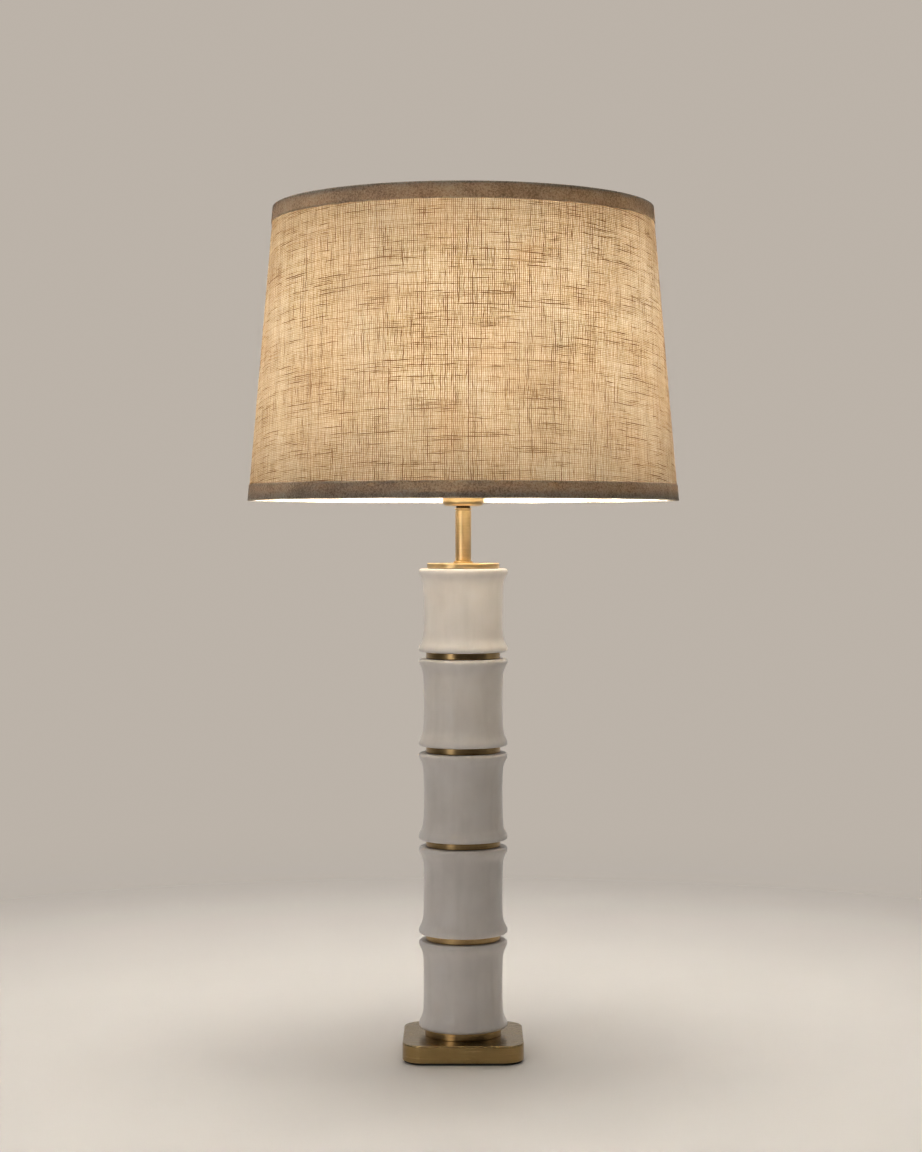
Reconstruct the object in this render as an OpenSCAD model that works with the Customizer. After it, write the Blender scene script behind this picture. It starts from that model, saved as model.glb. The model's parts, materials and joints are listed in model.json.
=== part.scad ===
// Table lamp: a stack of five waisted ceramic segments on a square brass base,
// with a tapered hardback drum shade carried by a harp and a spider fitter.
// +Z is up, the origin is the centre of the base's underside, sizes are in millimetres.

/* [Base] */
// Width of the square base plate
base_w = 113.5; // [100:0.5:140]
// Height of the base plate
base_h = 15.8; // [15:0.1:22]
// Corner radius of the base plate
base_corner_r = 21; // [16:1:30]
// Thickness of the pad under the base plate
pad_h = 2.1; // [1:0.1:4]
// Height of the brass ring that stands on the base plate
base_ring_h = 7.4; // [4:0.1:12]
// Radius of that ring
base_ring_r = 36; // [30:0.5:40]

/* [Ceramic column] */
// Height of each of the four lower ceramic segments
segment_h = 82.6; // [70:0.1:95]
// Height of the top ceramic segment
top_segment_h = 79.2; // [70:0.1:95]
// Radius of a segment at its lips
lip_r = 42; // [40:0.1:46]
// Radius of a segment at its waist
waist_r = 37.1; // [36:0.1:38]
// Rounding of the edge of each lip
lip_round = 2.4; // [1:0.1:3]
// Distance from the lip in which half of the flare is gone
flare_w = 6.5; // [4:0.1:9]
// Wall thickness of the ceramic
ceramic_wall = 6; // [4:0.5:8]
// Height of a brass spacer with its two gaskets
spacer_h = 6.3; // [5:0.1:9]
// Radius of a brass spacer
spacer_r = 35.15; // [32:0.05:36]
// Thickness of a gasket
gasket_h = 0.4; // [0.3:0.1:0.8]

/* [Neck] */
// Radius of the brass disc on the top segment
disc_r = 34.3; // [30:0.1:38]
// Thickness of that disc
disc_h = 4.6; // [3:0.1:7]
// Radius of the neck tube
neck_r = 7.5; // [7:0.1:9]
// Height of the neck from the disc to the socket cup
neck_h = 53.9; // [45:0.1:70]
// Radius of the socket cup
cup_r = 19.2; // [18:0.1:22]
// Height of the socket cup
cup_h = 9.6; // [8:0.1:14]
// Rounding of the cup's lower edge
cup_round = 5.5; // [3:0.5:7]

/* [Shade] */
// Outer radius of the shade at its top rim
shade_top_r = 179.3; // [170:0.1:190]
// Outer radius of the shade at its bottom rim
shade_bottom_r = 203.2; // [195:0.1:215]
// Vertical height of the shade
shade_h = 275.2; // [250:0.1:290]
// Height of the bottom rim above the socket cup's underside
shade_lift_off_cup = 4.8; // [0:0.1:10]
// Thickness of the linen
linen_t = 0.7; // [0.5:0.1:1]
// Thickness of the white liner
liner_t = 0.5; // [0.3:0.1:0.8]
// Thickness of the folded trim tape
trim_t = 0.7; // [0.5:0.1:1]
// Width of the trim tape on the outside
trim_w = 14.6; // [10:0.1:18]
// Radius of the wire of the shade's rings and arms
frame_wire_r = 1.6; // [1.2:0.1:2]
// How far the spider's hub hangs below the top rim
spider_drop = 21; // [15:1:25]

/* [Harp and finial] */
// Radius of the harp wire
harp_wire_r = 2.25; // [2:0.05:2.5]
// Half the distance between the harp's feet
harp_foot_x = 27; // [25:1:30]
// Half the width of the harp at its widest
harp_half_w = 57; // [50:1:60]
// Radius of the harp's two upper bends
harp_shoulder_r = 46; // [38:1:48]
// Radius of the threaded stud on the harp
stud_r = 3.175; // [3:0.025:3.5]
// Length of that stud
stud_h = 14; // [12:1:16]
// Height of the finial
finial_h = 27; // [20:1:30]

/* [Socket and bulb] */
// Radius of the socket's outer shell
shell_r = 15.35; // [15:0.05:16]
// Radius of the bulb's screw cap
bulb_cap_r = 13.1; // [13:0.05:13.2]
// Radius of the bulb at its widest
bulb_r = 30; // [28:0.5:32]
// Length of the bulb
bulb_h = 108; // [104:1:112]

/* [Rod and leads] */
// Radius of the threaded rod
rod_r = 4.85; // [4.7:0.05:5]
// Radius of the wireway through the rod
wireway_r = 3.2; // [3:0.1:3.4]
// Radius of an insulated lead
lead_r = 0.8; // [0.6:0.1:1]

/* [Hidden] */
$fn = 96;

segments = 5;
slip = 0.05;             // radial clearance of a running fit
rod_gap = 0.25;          // radial clearance of the pieces stacked on the rod
touch = 0.02;            // radial gap of a screwed or pushed joint inside one body
over = 1;                // how far a cut runs past the surface that it cuts

// heights
plate_top = pad_h + base_h;
column_z = plate_top + base_ring_h;
pitch = segment_h + spacer_h;
function segment_z(n) = column_z + (segments - n) * pitch;
disc_z = segment_z(1) + top_segment_h;
neck_z = disc_z + disc_h;
foot_h = 2;
foot_r = neck_r + 1.6;
tube_t = 1;
collar_h = 1.9;
collar_r = neck_r + 0.4;
check_h = 1.7;
check_r = neck_r + 0.1;
cup_t = 1.2;
cup_z = neck_z + neck_h;
saddle_t = 1.6;
saddle_z = cup_z + cup_h;
socket_z = saddle_z + saddle_t;
shade_z = cup_z + shade_lift_off_cup;
shade_top = shade_z + shade_h;

// base
shell_t = 2;
top_t = 2.5;
weight_gap = 0.5;
weight_bottom = pad_h + 1;
clamp_t = 3;
pocket_top = plate_top - top_t - clamp_t;
gland_z = pad_h + 6.4;
gland_r = 4.2;
gland_bore_r = 3.3;
gland_in = 4;            // how far the gland reaches in past the plate's wall
washer_t = 0.8;
nut_t = 3.5;
pipe_nut_w = 14;
rod_bottom = pocket_top - washer_t - nut_t - 0.5;
rod_top = socket_z + 6;
block_y = 20;
block_size = [18, 12, 6];
block_z = pad_h + 1.2;
terminal_x = 4.5;
terminal_r = 1.5;
lead_x = 1.4;
lead_bend = 3.2;
lead_low = rod_bottom - lead_bend - 0.2;

// spacers
spigot_r = 25.7;
spigot_h = 2;
mouth_r = 26;
web_t = 2.2;
relief_r = 22;

// harp
post_h = 6.2;
leg_top = socket_z + post_h + 16;
s_bend_a = 60;
boss_r = 9;
boss_t = 3;
wire_sides = 12;
thin = 1;                // thickness of the thin washers
hub_t = 1.5;
hub_r = 13;
hub_z = shade_top - spider_drop;
seat_z = hub_z - thin;
boss_z = seat_z - boss_t;
harp_top = boss_z - harp_wire_r;
ferrule_r = 4;
ferrule_h = 10;
ferrule_taper = 3;
ferrule_neck_r = harp_wire_r + 0.8;
ferrule_z = socket_z + 1.2;

// socket
wall = 0.6;
sleeve_r = shell_r - wall - 0.05;
sleeve_drop = 2;
body_r = 13;
body_z = socket_z + 21.2;
body_h = 13;
shell_z = socket_z + 16.2;
shell_h = 44;
cap_top = socket_z + 21.2;
screw_shell_r = bulb_cap_r + 0.3;
contact_h = 1;
tip_z = body_z + body_h + contact_h;
tip_h = 1.5;
shaft_r = 2;
shaft_gap = 1.2;
shaft_z = body_z + 6.5;
shaft_end = 3.5;
wire_screw_r = 1.3;
wire_screw_l = 4;
knob_y = 18;
knob_l = 13;

// shade
slope = (shade_bottom_r - shade_top_r) / shade_h;
linen_bottom = shade_z + trim_t;
linen_top = shade_top - trim_t;
// outer face of the trim, measured at height z
function cone_r(z) = shade_bottom_r - (z - shade_z) * slope;
function linen_r(z) = cone_r(z) - trim_t;
function liner_r(z) = linen_r(z) - linen_t;
function inside_r(z) = liner_r(z) - liner_t;
ring_top_z = linen_top - frame_wire_r - 0.1;
ring_bottom_z = linen_bottom + frame_wire_r + 0.1;
ring_gap = 0.2;          // between the liner and a wire ring, and between that ring and the tape
hub_slip = 0.3;
arms = 3;
first_arm = 90;

// points of an arc in a profile
function arc(c, r, a0, a1, n = 8) =
    [for (i = [0 : n]) let (a = a0 + (a1 - a0) * i / n) [c[0] + r * cos(a), c[1] + r * sin(a)]];

// how far the ceramic stands out from its waist at distance d from the lip's widest line
function flare(d) = (lip_r - waist_r) / (1 + pow(d / flare_w, 2.3));

// outer profile of a ceramic segment from its lower lip up to its middle
function half_outline(h, n = 14) = concat(
    arc([lip_r - lip_round, lip_round], lip_round, -90, 0, 5),
    [for (i = [1 : n]) let (d = (h / 2 - lip_round) * pow(i / n, 1.6))
        [waist_r + flare(d), lip_round + d]]);

// the same outline turned over in a segment of height h, without its middle point
function upside_down(points, h) = [for (i = [len(points) - 2 : -1 : 0]) [points[i][0], h - points[i][1]]];

// ---- shapes that repeat ----

// square slab with round corners, standing on z = 0
module rounded_slab(w, r, h) {
    translate([-w / 2, r - w / 2, 0]) cube([w, w - 2 * r, h]);
    translate([r - w / 2, -w / 2, 0]) cube([w - 2 * r, w, h]);
    for (x = [-1, 1], y = [-1, 1])
        translate([x * (w / 2 - r), y * (w / 2 - r), 0]) cylinder(r = r, h = h);
}

module washer(r, hole, h) {
    difference() {
        cylinder(r = r, h = h);
        translate([0, 0, -over]) cylinder(r = hole, h = h + 2 * over);
    }
}

module hex_nut(across, hole, h) {
    difference() {
        cylinder(d = across / cos(30), h = h, $fn = 6);
        translate([0, 0, -over]) cylinder(r = hole, h = h + 2 * over);
    }
}

// tube along points [x, z, heading] in the XZ plane
module wire_tube(path, r) {
    rings = len(path);
    points = [for (p = path, k = [0 : wire_sides - 1]) let (a = 360 * k / wire_sides, c = r * cos(a))
        [p[0] - c * sin(p[2]), r * sin(a), p[1] + c * cos(p[2])]];
    side_faces = [for (i = [0 : rings - 2], k = [0 : wire_sides - 1]) let (n = (k + 1) % wire_sides)
        [i * wire_sides + k, (i + 1) * wire_sides + k, (i + 1) * wire_sides + n, i * wire_sides + n]];
    first = [for (k = [0 : wire_sides - 1]) k];
    last = [for (k = [wire_sides - 1 : -1 : 0]) (rings - 1) * wire_sides + k];
    polyhedron(points, concat(side_faces, [first], [last]));
}

// sloping band of the shade between two heights; outer_r and inner_r give its radii there
module band(z0, z1, outer0, inner0, outer1, inner1) {
    rotate_extrude($fn = 128) polygon([[inner0, z0], [outer0, z0], [outer1, z1], [inner1, z1]]);
}

module ceramic(h) {
    outline = half_outline(h);
    color("ghostwhite") difference() {
        rotate_extrude() polygon(concat([[mouth_r, 0]], outline, upside_down(outline, h), [[mouth_r, h]]));
        translate([0, 0, ceramic_wall]) cylinder(r = waist_r - ceramic_wall, h = h - 2 * ceramic_wall);
    }
}

// brass spacer standing on z = 0, with a spigot that centres the ceramic at each end asked for
module spacer(r, h, lower_spigot, upper_spigot) {
    low = lower_spigot ? spigot_h : 0;
    high = upper_spigot ? spigot_h : 0;
    color("darkgoldenrod") difference() {
        union() {
            cylinder(r = r, h = h);
            translate([0, 0, -low]) cylinder(r = spigot_r, h = h + low + high);
        }
        translate([0, 0, -over - low]) cylinder(r = rod_r + rod_gap, h = h + low + high + 2 * over);
        translate([0, 0, (h + web_t) / 2]) cylinder(r = relief_r, h = h);
        translate([0, 0, (h - web_t) / 2 - h]) cylinder(r = relief_r, h = h);
    }
}

module lead(side, paint) {
    color(paint) translate([side * lead_x, 0, 0]) {
        translate([0, 0, lead_low + lead_bend])
            cylinder(r = lead_r, h = body_z - lead_low - lead_bend, $fn = 24);
        translate([0, lead_bend, lead_low + lead_bend]) rotate([0, 90, 0]) rotate([0, 0, -90])
            rotate_extrude(angle = 90) translate([lead_bend, 0]) circle(r = lead_r, $fn = 24);
        translate([0, lead_bend, lead_low]) rotate([-90, 0, 0])
            cylinder(r = lead_r, h = block_y - lead_bend, $fn = 24);
    }
}

module ferrule(side) {
    color("gold") translate([side * harp_foot_x, 0, ferrule_z]) difference() {
        rotate_extrude() polygon([[0, 0], [ferrule_r, 0], [ferrule_r, ferrule_h - ferrule_taper],
            [ferrule_neck_r, ferrule_h], [0, ferrule_h]]);
        translate([0, 0, -over]) cylinder(r = harp_wire_r + slip, h = ferrule_h + 2 * over);
    }
}

// ---- base ----

module base_pad() {
    inset = 1.5;
    color("dimgray") rounded_slab(base_w - 2 * inset, base_corner_r - inset, pad_h);
}

module base_plate() {
    color("darkgoldenrod") translate([0, 0, pad_h]) difference() {
        rounded_slab(base_w, base_corner_r, base_h);
        translate([0, 0, -over])
            rounded_slab(base_w - 2 * shell_t, base_corner_r - shell_t, base_h - top_t + over);
        cylinder(r = rod_r + rod_gap, h = base_h + over);
        translate([0, base_w / 2 - shell_t - over, gland_z - pad_h]) rotate([-90, 0, 0])
            cylinder(r = gland_r, h = shell_t + 2 * over);
    }
}

// iron block inside the plate, with a pocket for the nut, the leads and the gland's inner end
module base_weight() {
    inner_w = base_w - 2 * shell_t - 2 * weight_gap;
    corner_r = base_corner_r - shell_t - weight_gap;
    pocket = 18;
    notch = 7;
    color("darkslategray") difference() {
        translate([0, 0, weight_bottom]) rounded_slab(inner_w, corner_r, plate_top - top_t - weight_bottom);
        cylinder(r = rod_r + rod_gap, h = plate_top);
        translate([-pocket, -pocket, 0]) cube([2 * pocket, base_w, pocket_top]);
        translate([-notch, base_w / 2 - shell_t - gland_in - over, 0]) cube([2 * notch, base_w, plate_top]);
    }
}

module cord_gland() {
    flange_t = 1.5;
    flange_r = gland_r + 1.8;
    barb_t = 2;
    barb_r = gland_r + 1.4;
    inner_l = shell_t + gland_in;
    color("saddlebrown") translate([0, base_w / 2, gland_z]) rotate([-90, 0, 0]) difference() {
        union() {
            translate([0, 0, -inner_l]) cylinder(r = gland_r, h = inner_l);
            cylinder(r = flange_r, h = flange_t);
            translate([0, 0, -shell_t - barb_t]) cylinder(r = barb_r, h = barb_t);
        }
        translate([0, 0, -inner_l - over]) cylinder(r = gland_bore_r, h = inner_l + flange_t + 2 * over);
    }
}

// puts its children at the foot of each of the two screw holes
module at_terminals() {
    for (x = [-1, 1])
        translate([x * terminal_x, block_y + block_size[1] / 2, block_z + block_size[2] / 2]) children();
}

module terminal_block() {
    color("ivory") difference() {
        translate([-block_size[0] / 2, block_y, block_z]) cube(block_size);
        at_terminals() cylinder(r = terminal_r, h = block_size[2]);
    }
}

module terminal_screws() {
    screw_h = 3.4;
    slot_w = 0.5;
    slot_d = 0.6;
    color("silver") at_terminals() difference() {
        cylinder(r = terminal_r, h = screw_h);
        translate([-terminal_r - over, -slot_w / 2, screw_h - slot_d])
            cube([2 * terminal_r + 2 * over, slot_w, slot_d + over]);
    }
}

module pipe_nut() {
    color("silver") translate([0, 0, pocket_top - washer_t - nut_t]) hex_nut(pipe_nut_w, rod_r + touch, nut_t);
}

module lock_washer() {
    r = 9;
    color("gray") translate([0, 0, pocket_top - washer_t]) washer(r, rod_r + rod_gap, washer_t);
}

module threaded_rod() {
    color("lightgray") translate([0, 0, rod_bottom]) washer(rod_r, wireway_r, rod_top - rod_bottom);
}

module lead_live() { lead(1, "black"); }

module lead_neutral() { lead(-1, "white"); }

// ---- column ----

module base_ring() {
    translate([0, 0, plate_top]) spacer(base_ring_r, base_ring_h - gasket_h, false, true);
}

module spacer_ring(n) {
    translate([0, 0, segment_z(n) - spacer_h + gasket_h])
        spacer(spacer_r, spacer_h - 2 * gasket_h, true, true);
}

module spacer_ring_1() { spacer_ring(1); }
module spacer_ring_2() { spacer_ring(2); }
module spacer_ring_3() { spacer_ring(3); }
module spacer_ring_4() { spacer_ring(4); }

module ceramic_1() { translate([0, 0, segment_z(1)]) ceramic(top_segment_h - gasket_h); }
module ceramic_2() { translate([0, 0, segment_z(2)]) ceramic(segment_h); }
module ceramic_3() { translate([0, 0, segment_z(3)]) ceramic(segment_h); }
module ceramic_4() { translate([0, 0, segment_z(4)]) ceramic(segment_h); }
module ceramic_5() { translate([0, 0, segment_z(5)]) ceramic(segment_h); }

module ring_gaskets() {
    below = [for (n = [1 : segments]) segment_z(n) - gasket_h];
    above = [for (n = [2 : segments]) segment_z(n) + segment_h];
    color("black") for (z = concat(below, above, [disc_z - gasket_h]))
        translate([0, 0, z]) washer(disc_r - 1, mouth_r, gasket_h);
}

// ---- neck ----

module top_disc() {
    translate([0, 0, disc_z]) spacer(disc_r, disc_h, true, false);
}

module neck_foot() {
    color("gold") translate([0, 0, neck_z]) washer(foot_r, rod_r + rod_gap, foot_h);
}

module neck_tube() {
    color("goldenrod") translate([0, 0, neck_z + foot_h])
        washer(neck_r, neck_r - tube_t, neck_h - foot_h - collar_h - check_h);
}

module neck_collar() {
    color("gold") translate([0, 0, cup_z - check_h - collar_h]) washer(collar_r, rod_r + rod_gap, collar_h);
}

module check_washer() {
    color("saddlebrown") translate([0, 0, cup_z - check_h]) washer(check_r, rod_r + rod_gap, check_h);
}

module socket_cup() {
    hole = rod_r + rod_gap;
    color("darkgoldenrod") translate([0, 0, cup_z]) rotate_extrude() polygon(concat(
        [[hole, 0]],
        arc([cup_r - cup_round, cup_round], cup_round, -90, 0),
        [[cup_r, cup_h], [cup_r - cup_t, cup_h]],
        arc([cup_r - cup_round, cup_round], cup_round - cup_t, 0, -90),
        [[hole, cup_t]]));
}

module cup_nut() {
    across = 15;
    h = 4;
    color("silver") translate([0, 0, cup_z + cup_t]) hex_nut(across, rod_r + touch, h);
}

// ---- harp ----

module harp_saddle() {
    half_l = harp_foot_x + harp_wire_r + 0.25;
    w = 14;
    color("goldenrod") {
        difference() {
            translate([-half_l, -w / 2, saddle_z]) cube([2 * half_l, w, saddle_t]);
            translate([0, 0, saddle_z - over]) cylinder(r = rod_r + rod_gap, h = saddle_t + 2 * over);
        }
        for (x = [-1, 1]) translate([x * harp_foot_x, 0, saddle_z + saddle_t / 2])
            cylinder(r = harp_wire_r, h = saddle_t / 2 + post_h);
    }
}

// turn of the wire about a centre, as [x, z, heading]: side is 1 for a turn to the left, -1 to the right
function turn(c, r, a0, a1, side, n = 7) =
    [for (i = [0 : n]) let (a = a0 + (a1 - a0) * i / n)
        [c[0] + r * cos(a), c[1] + r * sin(a), a + side * 90]];

// right half of the harp from its foot to the middle of its top; points too near the last one are left out
function harp_half() = let (
        r = harp_half_w - harp_foot_x,
        side_z = leg_top + 2 * r * sin(s_bend_a),
        shoulder_z = harp_top - harp_shoulder_r)
    concat(
        [[harp_foot_x, socket_z + post_h, 90]],
        turn([harp_foot_x + r, leg_top], r, 180, 180 - s_bend_a, -1),
        [for (p = turn([harp_half_w - r, side_z], r, -s_bend_a, 0, 1))
            if (p[1] > leg_top + r * sin(s_bend_a) + over) p],
        turn([harp_half_w - harp_shoulder_r, shoulder_z], harp_shoulder_r, 0, 90, 1, 10));

module harp_wire() {
    right = harp_half();
    left = [for (i = [len(right) - 1 : -1 : 0]) [-right[i][0], right[i][1], 360 - right[i][2]]];
    color("goldenrod") wire_tube(concat(right, left), harp_wire_r);
}

module harp_stud() {
    color("goldenrod") translate([0, 0, boss_z]) {
        cylinder(r = boss_r, h = boss_t);
        cylinder(r = stud_r, h = boss_t + stud_h);
    }
}

module ferrule_left() { ferrule(-1); }

module ferrule_right() { ferrule(1); }

// ---- socket ----

// dome that screws onto the rod by its hub
module socket_cap() {
    hub = rod_r + 1.7;
    hub_h = 4;
    t = 0.8;
    rim = shell_r + t + touch;
    dome = rim - hub;
    color("goldenrod") difference() {
        translate([0, 0, socket_z]) rotate_extrude() polygon(concat(
            [[rod_r + touch, 0], [hub, 0], [hub, hub_h]],
            arc([hub, hub_h + dome], dome, -90, 0),
            [[rim, cap_top - socket_z], [rim - t, cap_top - socket_z]],
            arc([hub, hub_h + dome], dome - t, 0, -90),
            [[rod_r + touch, hub_h + t]]));
        side_hole();
    }
}

// hole for the switch's shaft through the front wall of a socket piece
module side_hole() {
    deep = 8;
    translate([0, -shell_r, shaft_z]) rotate([90, 0, 0])
        cylinder(r = shaft_r + shaft_gap, h = deep, center = true);
}

module socket_shell() {
    color("goldenrod") difference() {
        translate([0, 0, shell_z]) washer(shell_r, shell_r - wall, shell_h);
        side_hole();
    }
}

module socket_sleeve() {
    color("burlywood") difference() {
        translate([0, 0, body_z - sleeve_drop]) washer(sleeve_r, sleeve_r - wall, shell_z + shell_h - body_z);
        side_hole();
    }
}

module socket_body() {
    color("brown") difference() {
        translate([0, 0, body_z]) cylinder(r = body_r, h = body_h);
        translate([0, -shaft_end, shaft_z]) rotate([90, 0, 0]) cylinder(r = shaft_r + slip, h = body_r);
        at_wire_screws() cylinder(r = wire_screw_r, h = 2 * wire_screw_l, center = true, $fn = 24);
    }
}

// puts its children on the body's two sides, turned so that their z points out
module at_wire_screws() {
    for (x = [-1, 1]) translate([x * body_r, 0, shaft_z]) rotate([0, x * 90, 0]) children();
}

module socket_screws() {
    head_r = 2.4;
    head_h = 0.8;
    color("silver") at_wire_screws() {
        translate([0, 0, -wire_screw_l])
            cylinder(r = wire_screw_r - touch, h = wire_screw_l + head_h / 2, $fn = 24);
        cylinder(r = head_r, h = head_h);
    }
}

// brass cup with an open floor that takes the bulb's screw cap
module screw_shell() {
    t = 0.5;
    floor_r = 9;
    thread_h = 23;
    outer_r = screw_shell_r + t;
    color("gold") translate([0, 0, body_z + body_h]) rotate_extrude() polygon([
        [floor_r, 0], [outer_r, 0], [outer_r, thread_h],
        [screw_shell_r, thread_h], [screw_shell_r, t], [floor_r, t]]);
}

module centre_contact() {
    r = 3.5;
    color("gold") translate([0, 0, body_z + body_h]) cylinder(r = r, h = contact_h);
}

module switch_shaft() {
    color("silver") translate([0, -shaft_end, shaft_z]) rotate([90, 0, 0])
        cylinder(r = shaft_r, h = knob_y - shaft_end);
}

// stem with a flat wing for the fingers
module switch_knob() {
    stem_r = 4.2;
    wing = [14, 2.6];
    wing_start = 2.5;
    color("black") translate([0, -knob_y, shaft_z]) rotate([90, 0, 0]) {
        cylinder(r = stem_r, h = knob_l - 2);
        translate([-wing[0] / 2, -wing[1] / 2, wing_start]) cube([wing[0], wing[1], knob_l - wing_start]);
    }
}

// ---- bulb ----

insulator_h = 2;
cap_z = tip_z + tip_h + insulator_h;
cap_h = 21;
housing_z = cap_z + cap_h;
housing_h = 38;
dome_z = housing_z + housing_h;
dome_h = tip_z + bulb_h - dome_z;
board_drop = 5;          // depth of the housing's pocket for the board
diffuser_t = 1.5;

module bulb_tip() {
    color("silver") translate([0, 0, tip_z]) cylinder(r1 = 3, r2 = 4.5, h = tip_h);
}

module bulb_insulator() {
    color("black") translate([0, 0, tip_z + tip_h]) cylinder(r1 = 5, r2 = 10, h = insulator_h);
}

module bulb_cap() {
    color("silver") translate([0, 0, cap_z]) cylinder(r = bulb_cap_r, h = cap_h);
}

// outer outline of the bulb's neck: a blend of two quarter waves that opens from the cap to the dome
function neck_outline(n = 10) = let (foot = bulb_cap_r + 1, spread = bulb_r - foot, blend = 0.55)
    [for (i = [0 : n]) let (a = 90 * i / n)
        [foot + spread * ((1 - blend) * (1 - cos(a)) + blend * sin(a)), housing_h * i / n]];

module bulb_housing() {
    rim = 3;
    color("white") translate([0, 0, housing_z]) difference() {
        rotate_extrude() polygon(concat([[0, 0]], neck_outline(), [[0, housing_h]]));
        translate([0, 0, housing_h - board_drop]) cylinder(r = bulb_r - rim, h = board_drop + over);
    }
}

// round board with a ring of square light sources sunk into it
module led_board() {
    board_t = 1.5;
    led = [3, 3, 1.3];
    ring_r = 16;
    sunk = 0.5;
    color("lightyellow") translate([0, 0, dome_z - board_drop]) {
        cylinder(r = bulb_r - 4, h = board_t);
        for (a = [0 : 45 : 315]) rotate([0, 0, a])
            translate([ring_r, -led[1] / 2, board_t - sunk]) cube(led);
    }
}

module bulb_diffuser() {
    r = bulb_r - diffuser_t;
    h = dome_h - diffuser_t;
    color("ivory") translate([0, 0, dome_z]) rotate_extrude() polygon(concat(
        [for (a = [0 : 9 : 90]) [bulb_r * cos(a), dome_h * sin(a)]],
        [for (a = [90 : -9 : 0]) [r * cos(a), h * sin(a)]]));
}

// ---- shade ----

module seat_washer() {
    color("gold") translate([0, 0, seat_z]) washer(boss_r, stud_r + slip, thin);
}

// wire ring pressed against the inside of the liner at height z
module wire_ring(z) {
    ring_r = inside_r(z) - frame_wire_r - ring_gap;
    translate([0, 0, z]) rotate_extrude($fn = 128) translate([ring_r, 0]) circle(r = frame_wire_r, $fn = 24);
}

// flat hub with arms that rise to the top ring
module spider_fitter() {
    ring_r = inside_r(ring_top_z) - 2 * frame_wire_r - ring_gap;
    arm_x = hub_r - 2;
    clip_w = 10;
    arm_z = hub_z + hub_t / 2;
    run = ring_r - arm_x;
    rise = ring_top_z - arm_z;
    color("silver") {
        translate([0, 0, hub_z]) washer(hub_r, stud_r + hub_slip, hub_t);
        for (i = [0 : arms - 1]) rotate([0, 0, first_arm + i * 360 / arms]) intersection() {
            translate([arm_x, 0, arm_z]) rotate([0, atan2(run, rise), 0])
                cylinder(r = frame_wire_r, h = norm([run, rise]), $fn = 24);
            translate([0, -clip_w / 2, hub_z]) cube([ring_r, clip_w, spider_drop]);
        }
    }
}

module top_ring() {
    color("silver") wire_ring(ring_top_z);
}

module bottom_ring() {
    color("silver") wire_ring(ring_bottom_z);
}

module shade_liner() {
    color("white") band(linen_bottom, linen_top, liner_r(linen_bottom), inside_r(linen_bottom),
        liner_r(linen_top), inside_r(linen_top));
}

module shade_linen() {
    color("tan") band(linen_bottom, linen_top, linen_r(linen_bottom), liner_r(linen_bottom),
        linen_r(linen_top), liner_r(linen_top));
}

// tape folded over the top rim: an outer band, and the fold over the wire ring
module top_trim() {
    low = shade_top - trim_w;
    tuck = inside_r(ring_top_z) - 2 * frame_wire_r - 2 * ring_gap;
    color("rosybrown") rotate_extrude($fn = 128) polygon([
        [linen_r(low), low], [cone_r(low), low], [cone_r(shade_top), shade_top], [tuck, shade_top],
        [tuck, linen_top], [linen_r(linen_top), linen_top]]);
}

// the same at the bottom rim, with a lip that stands up behind the wire ring
module bottom_trim() {
    high = shade_z + trim_w;
    lip_top = linen_bottom + 4;
    tuck = inside_r(ring_bottom_z) - 2 * frame_wire_r - 2 * ring_gap - trim_t;
    color("rosybrown") rotate_extrude($fn = 128) polygon([
        [linen_r(high), high], [linen_r(linen_bottom), linen_bottom], [tuck + trim_t, linen_bottom],
        [tuck + trim_t, lip_top], [tuck, lip_top], [tuck, shade_z],
        [cone_r(shade_z), shade_z], [cone_r(high), high]]);
}

// ---- finial ----

module finial_washer() {
    r = 8;
    color("gold") translate([0, 0, hub_z + hub_t]) washer(r, stud_r + slip, thin);
}

module finial() {
    ball_r = 8;
    skirt_r = 7;
    skirt_h = 2;
    neck = 5;
    ball_z = finial_h - ball_r;
    cove = skirt_r - neck;
    color("gold") translate([0, 0, hub_z + hub_t + thin]) difference() {
        rotate_extrude() polygon(concat(
            [[0, 0], [skirt_r, 0], [skirt_r, skirt_h]],
            arc([skirt_r, skirt_h + cove], cove, -90, -180, 6),
            arc([0, ball_z], ball_r, -acos(neck / ball_r), 90, 14)));
        translate([0, 0, -over]) cylinder(r = stud_r + slip, h = stud_h + over);
    }
}

base_pad();
base_plate();
base_weight();
cord_gland();
terminal_block();
terminal_screws();
pipe_nut();
lock_washer();
threaded_rod();
lead_live();
lead_neutral();
base_ring();
ceramic_1();
ceramic_2();
ceramic_3();
ceramic_4();
ceramic_5();
spacer_ring_1();
spacer_ring_2();
spacer_ring_3();
spacer_ring_4();
ring_gaskets();
top_disc();
neck_foot();
neck_tube();
neck_collar();
check_washer();
socket_cup();
cup_nut();
harp_saddle();
harp_wire();
harp_stud();
ferrule_left();
ferrule_right();
socket_cap();
socket_shell();
socket_sleeve();
socket_body();
socket_screws();
screw_shell();
centre_contact();
switch_shaft();
switch_knob();
bulb_tip();
bulb_insulator();
bulb_cap();
bulb_housing();
led_board();
bulb_diffuser();
seat_washer();
spider_fitter();
top_ring();
bottom_ring();
shade_liner();
shade_linen();
top_trim();
bottom_trim();
finial_washer();
finial();
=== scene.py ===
import json
import math
import random

import bmesh
import bpy
from mathutils import Euler, Matrix, Vector, noise


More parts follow.
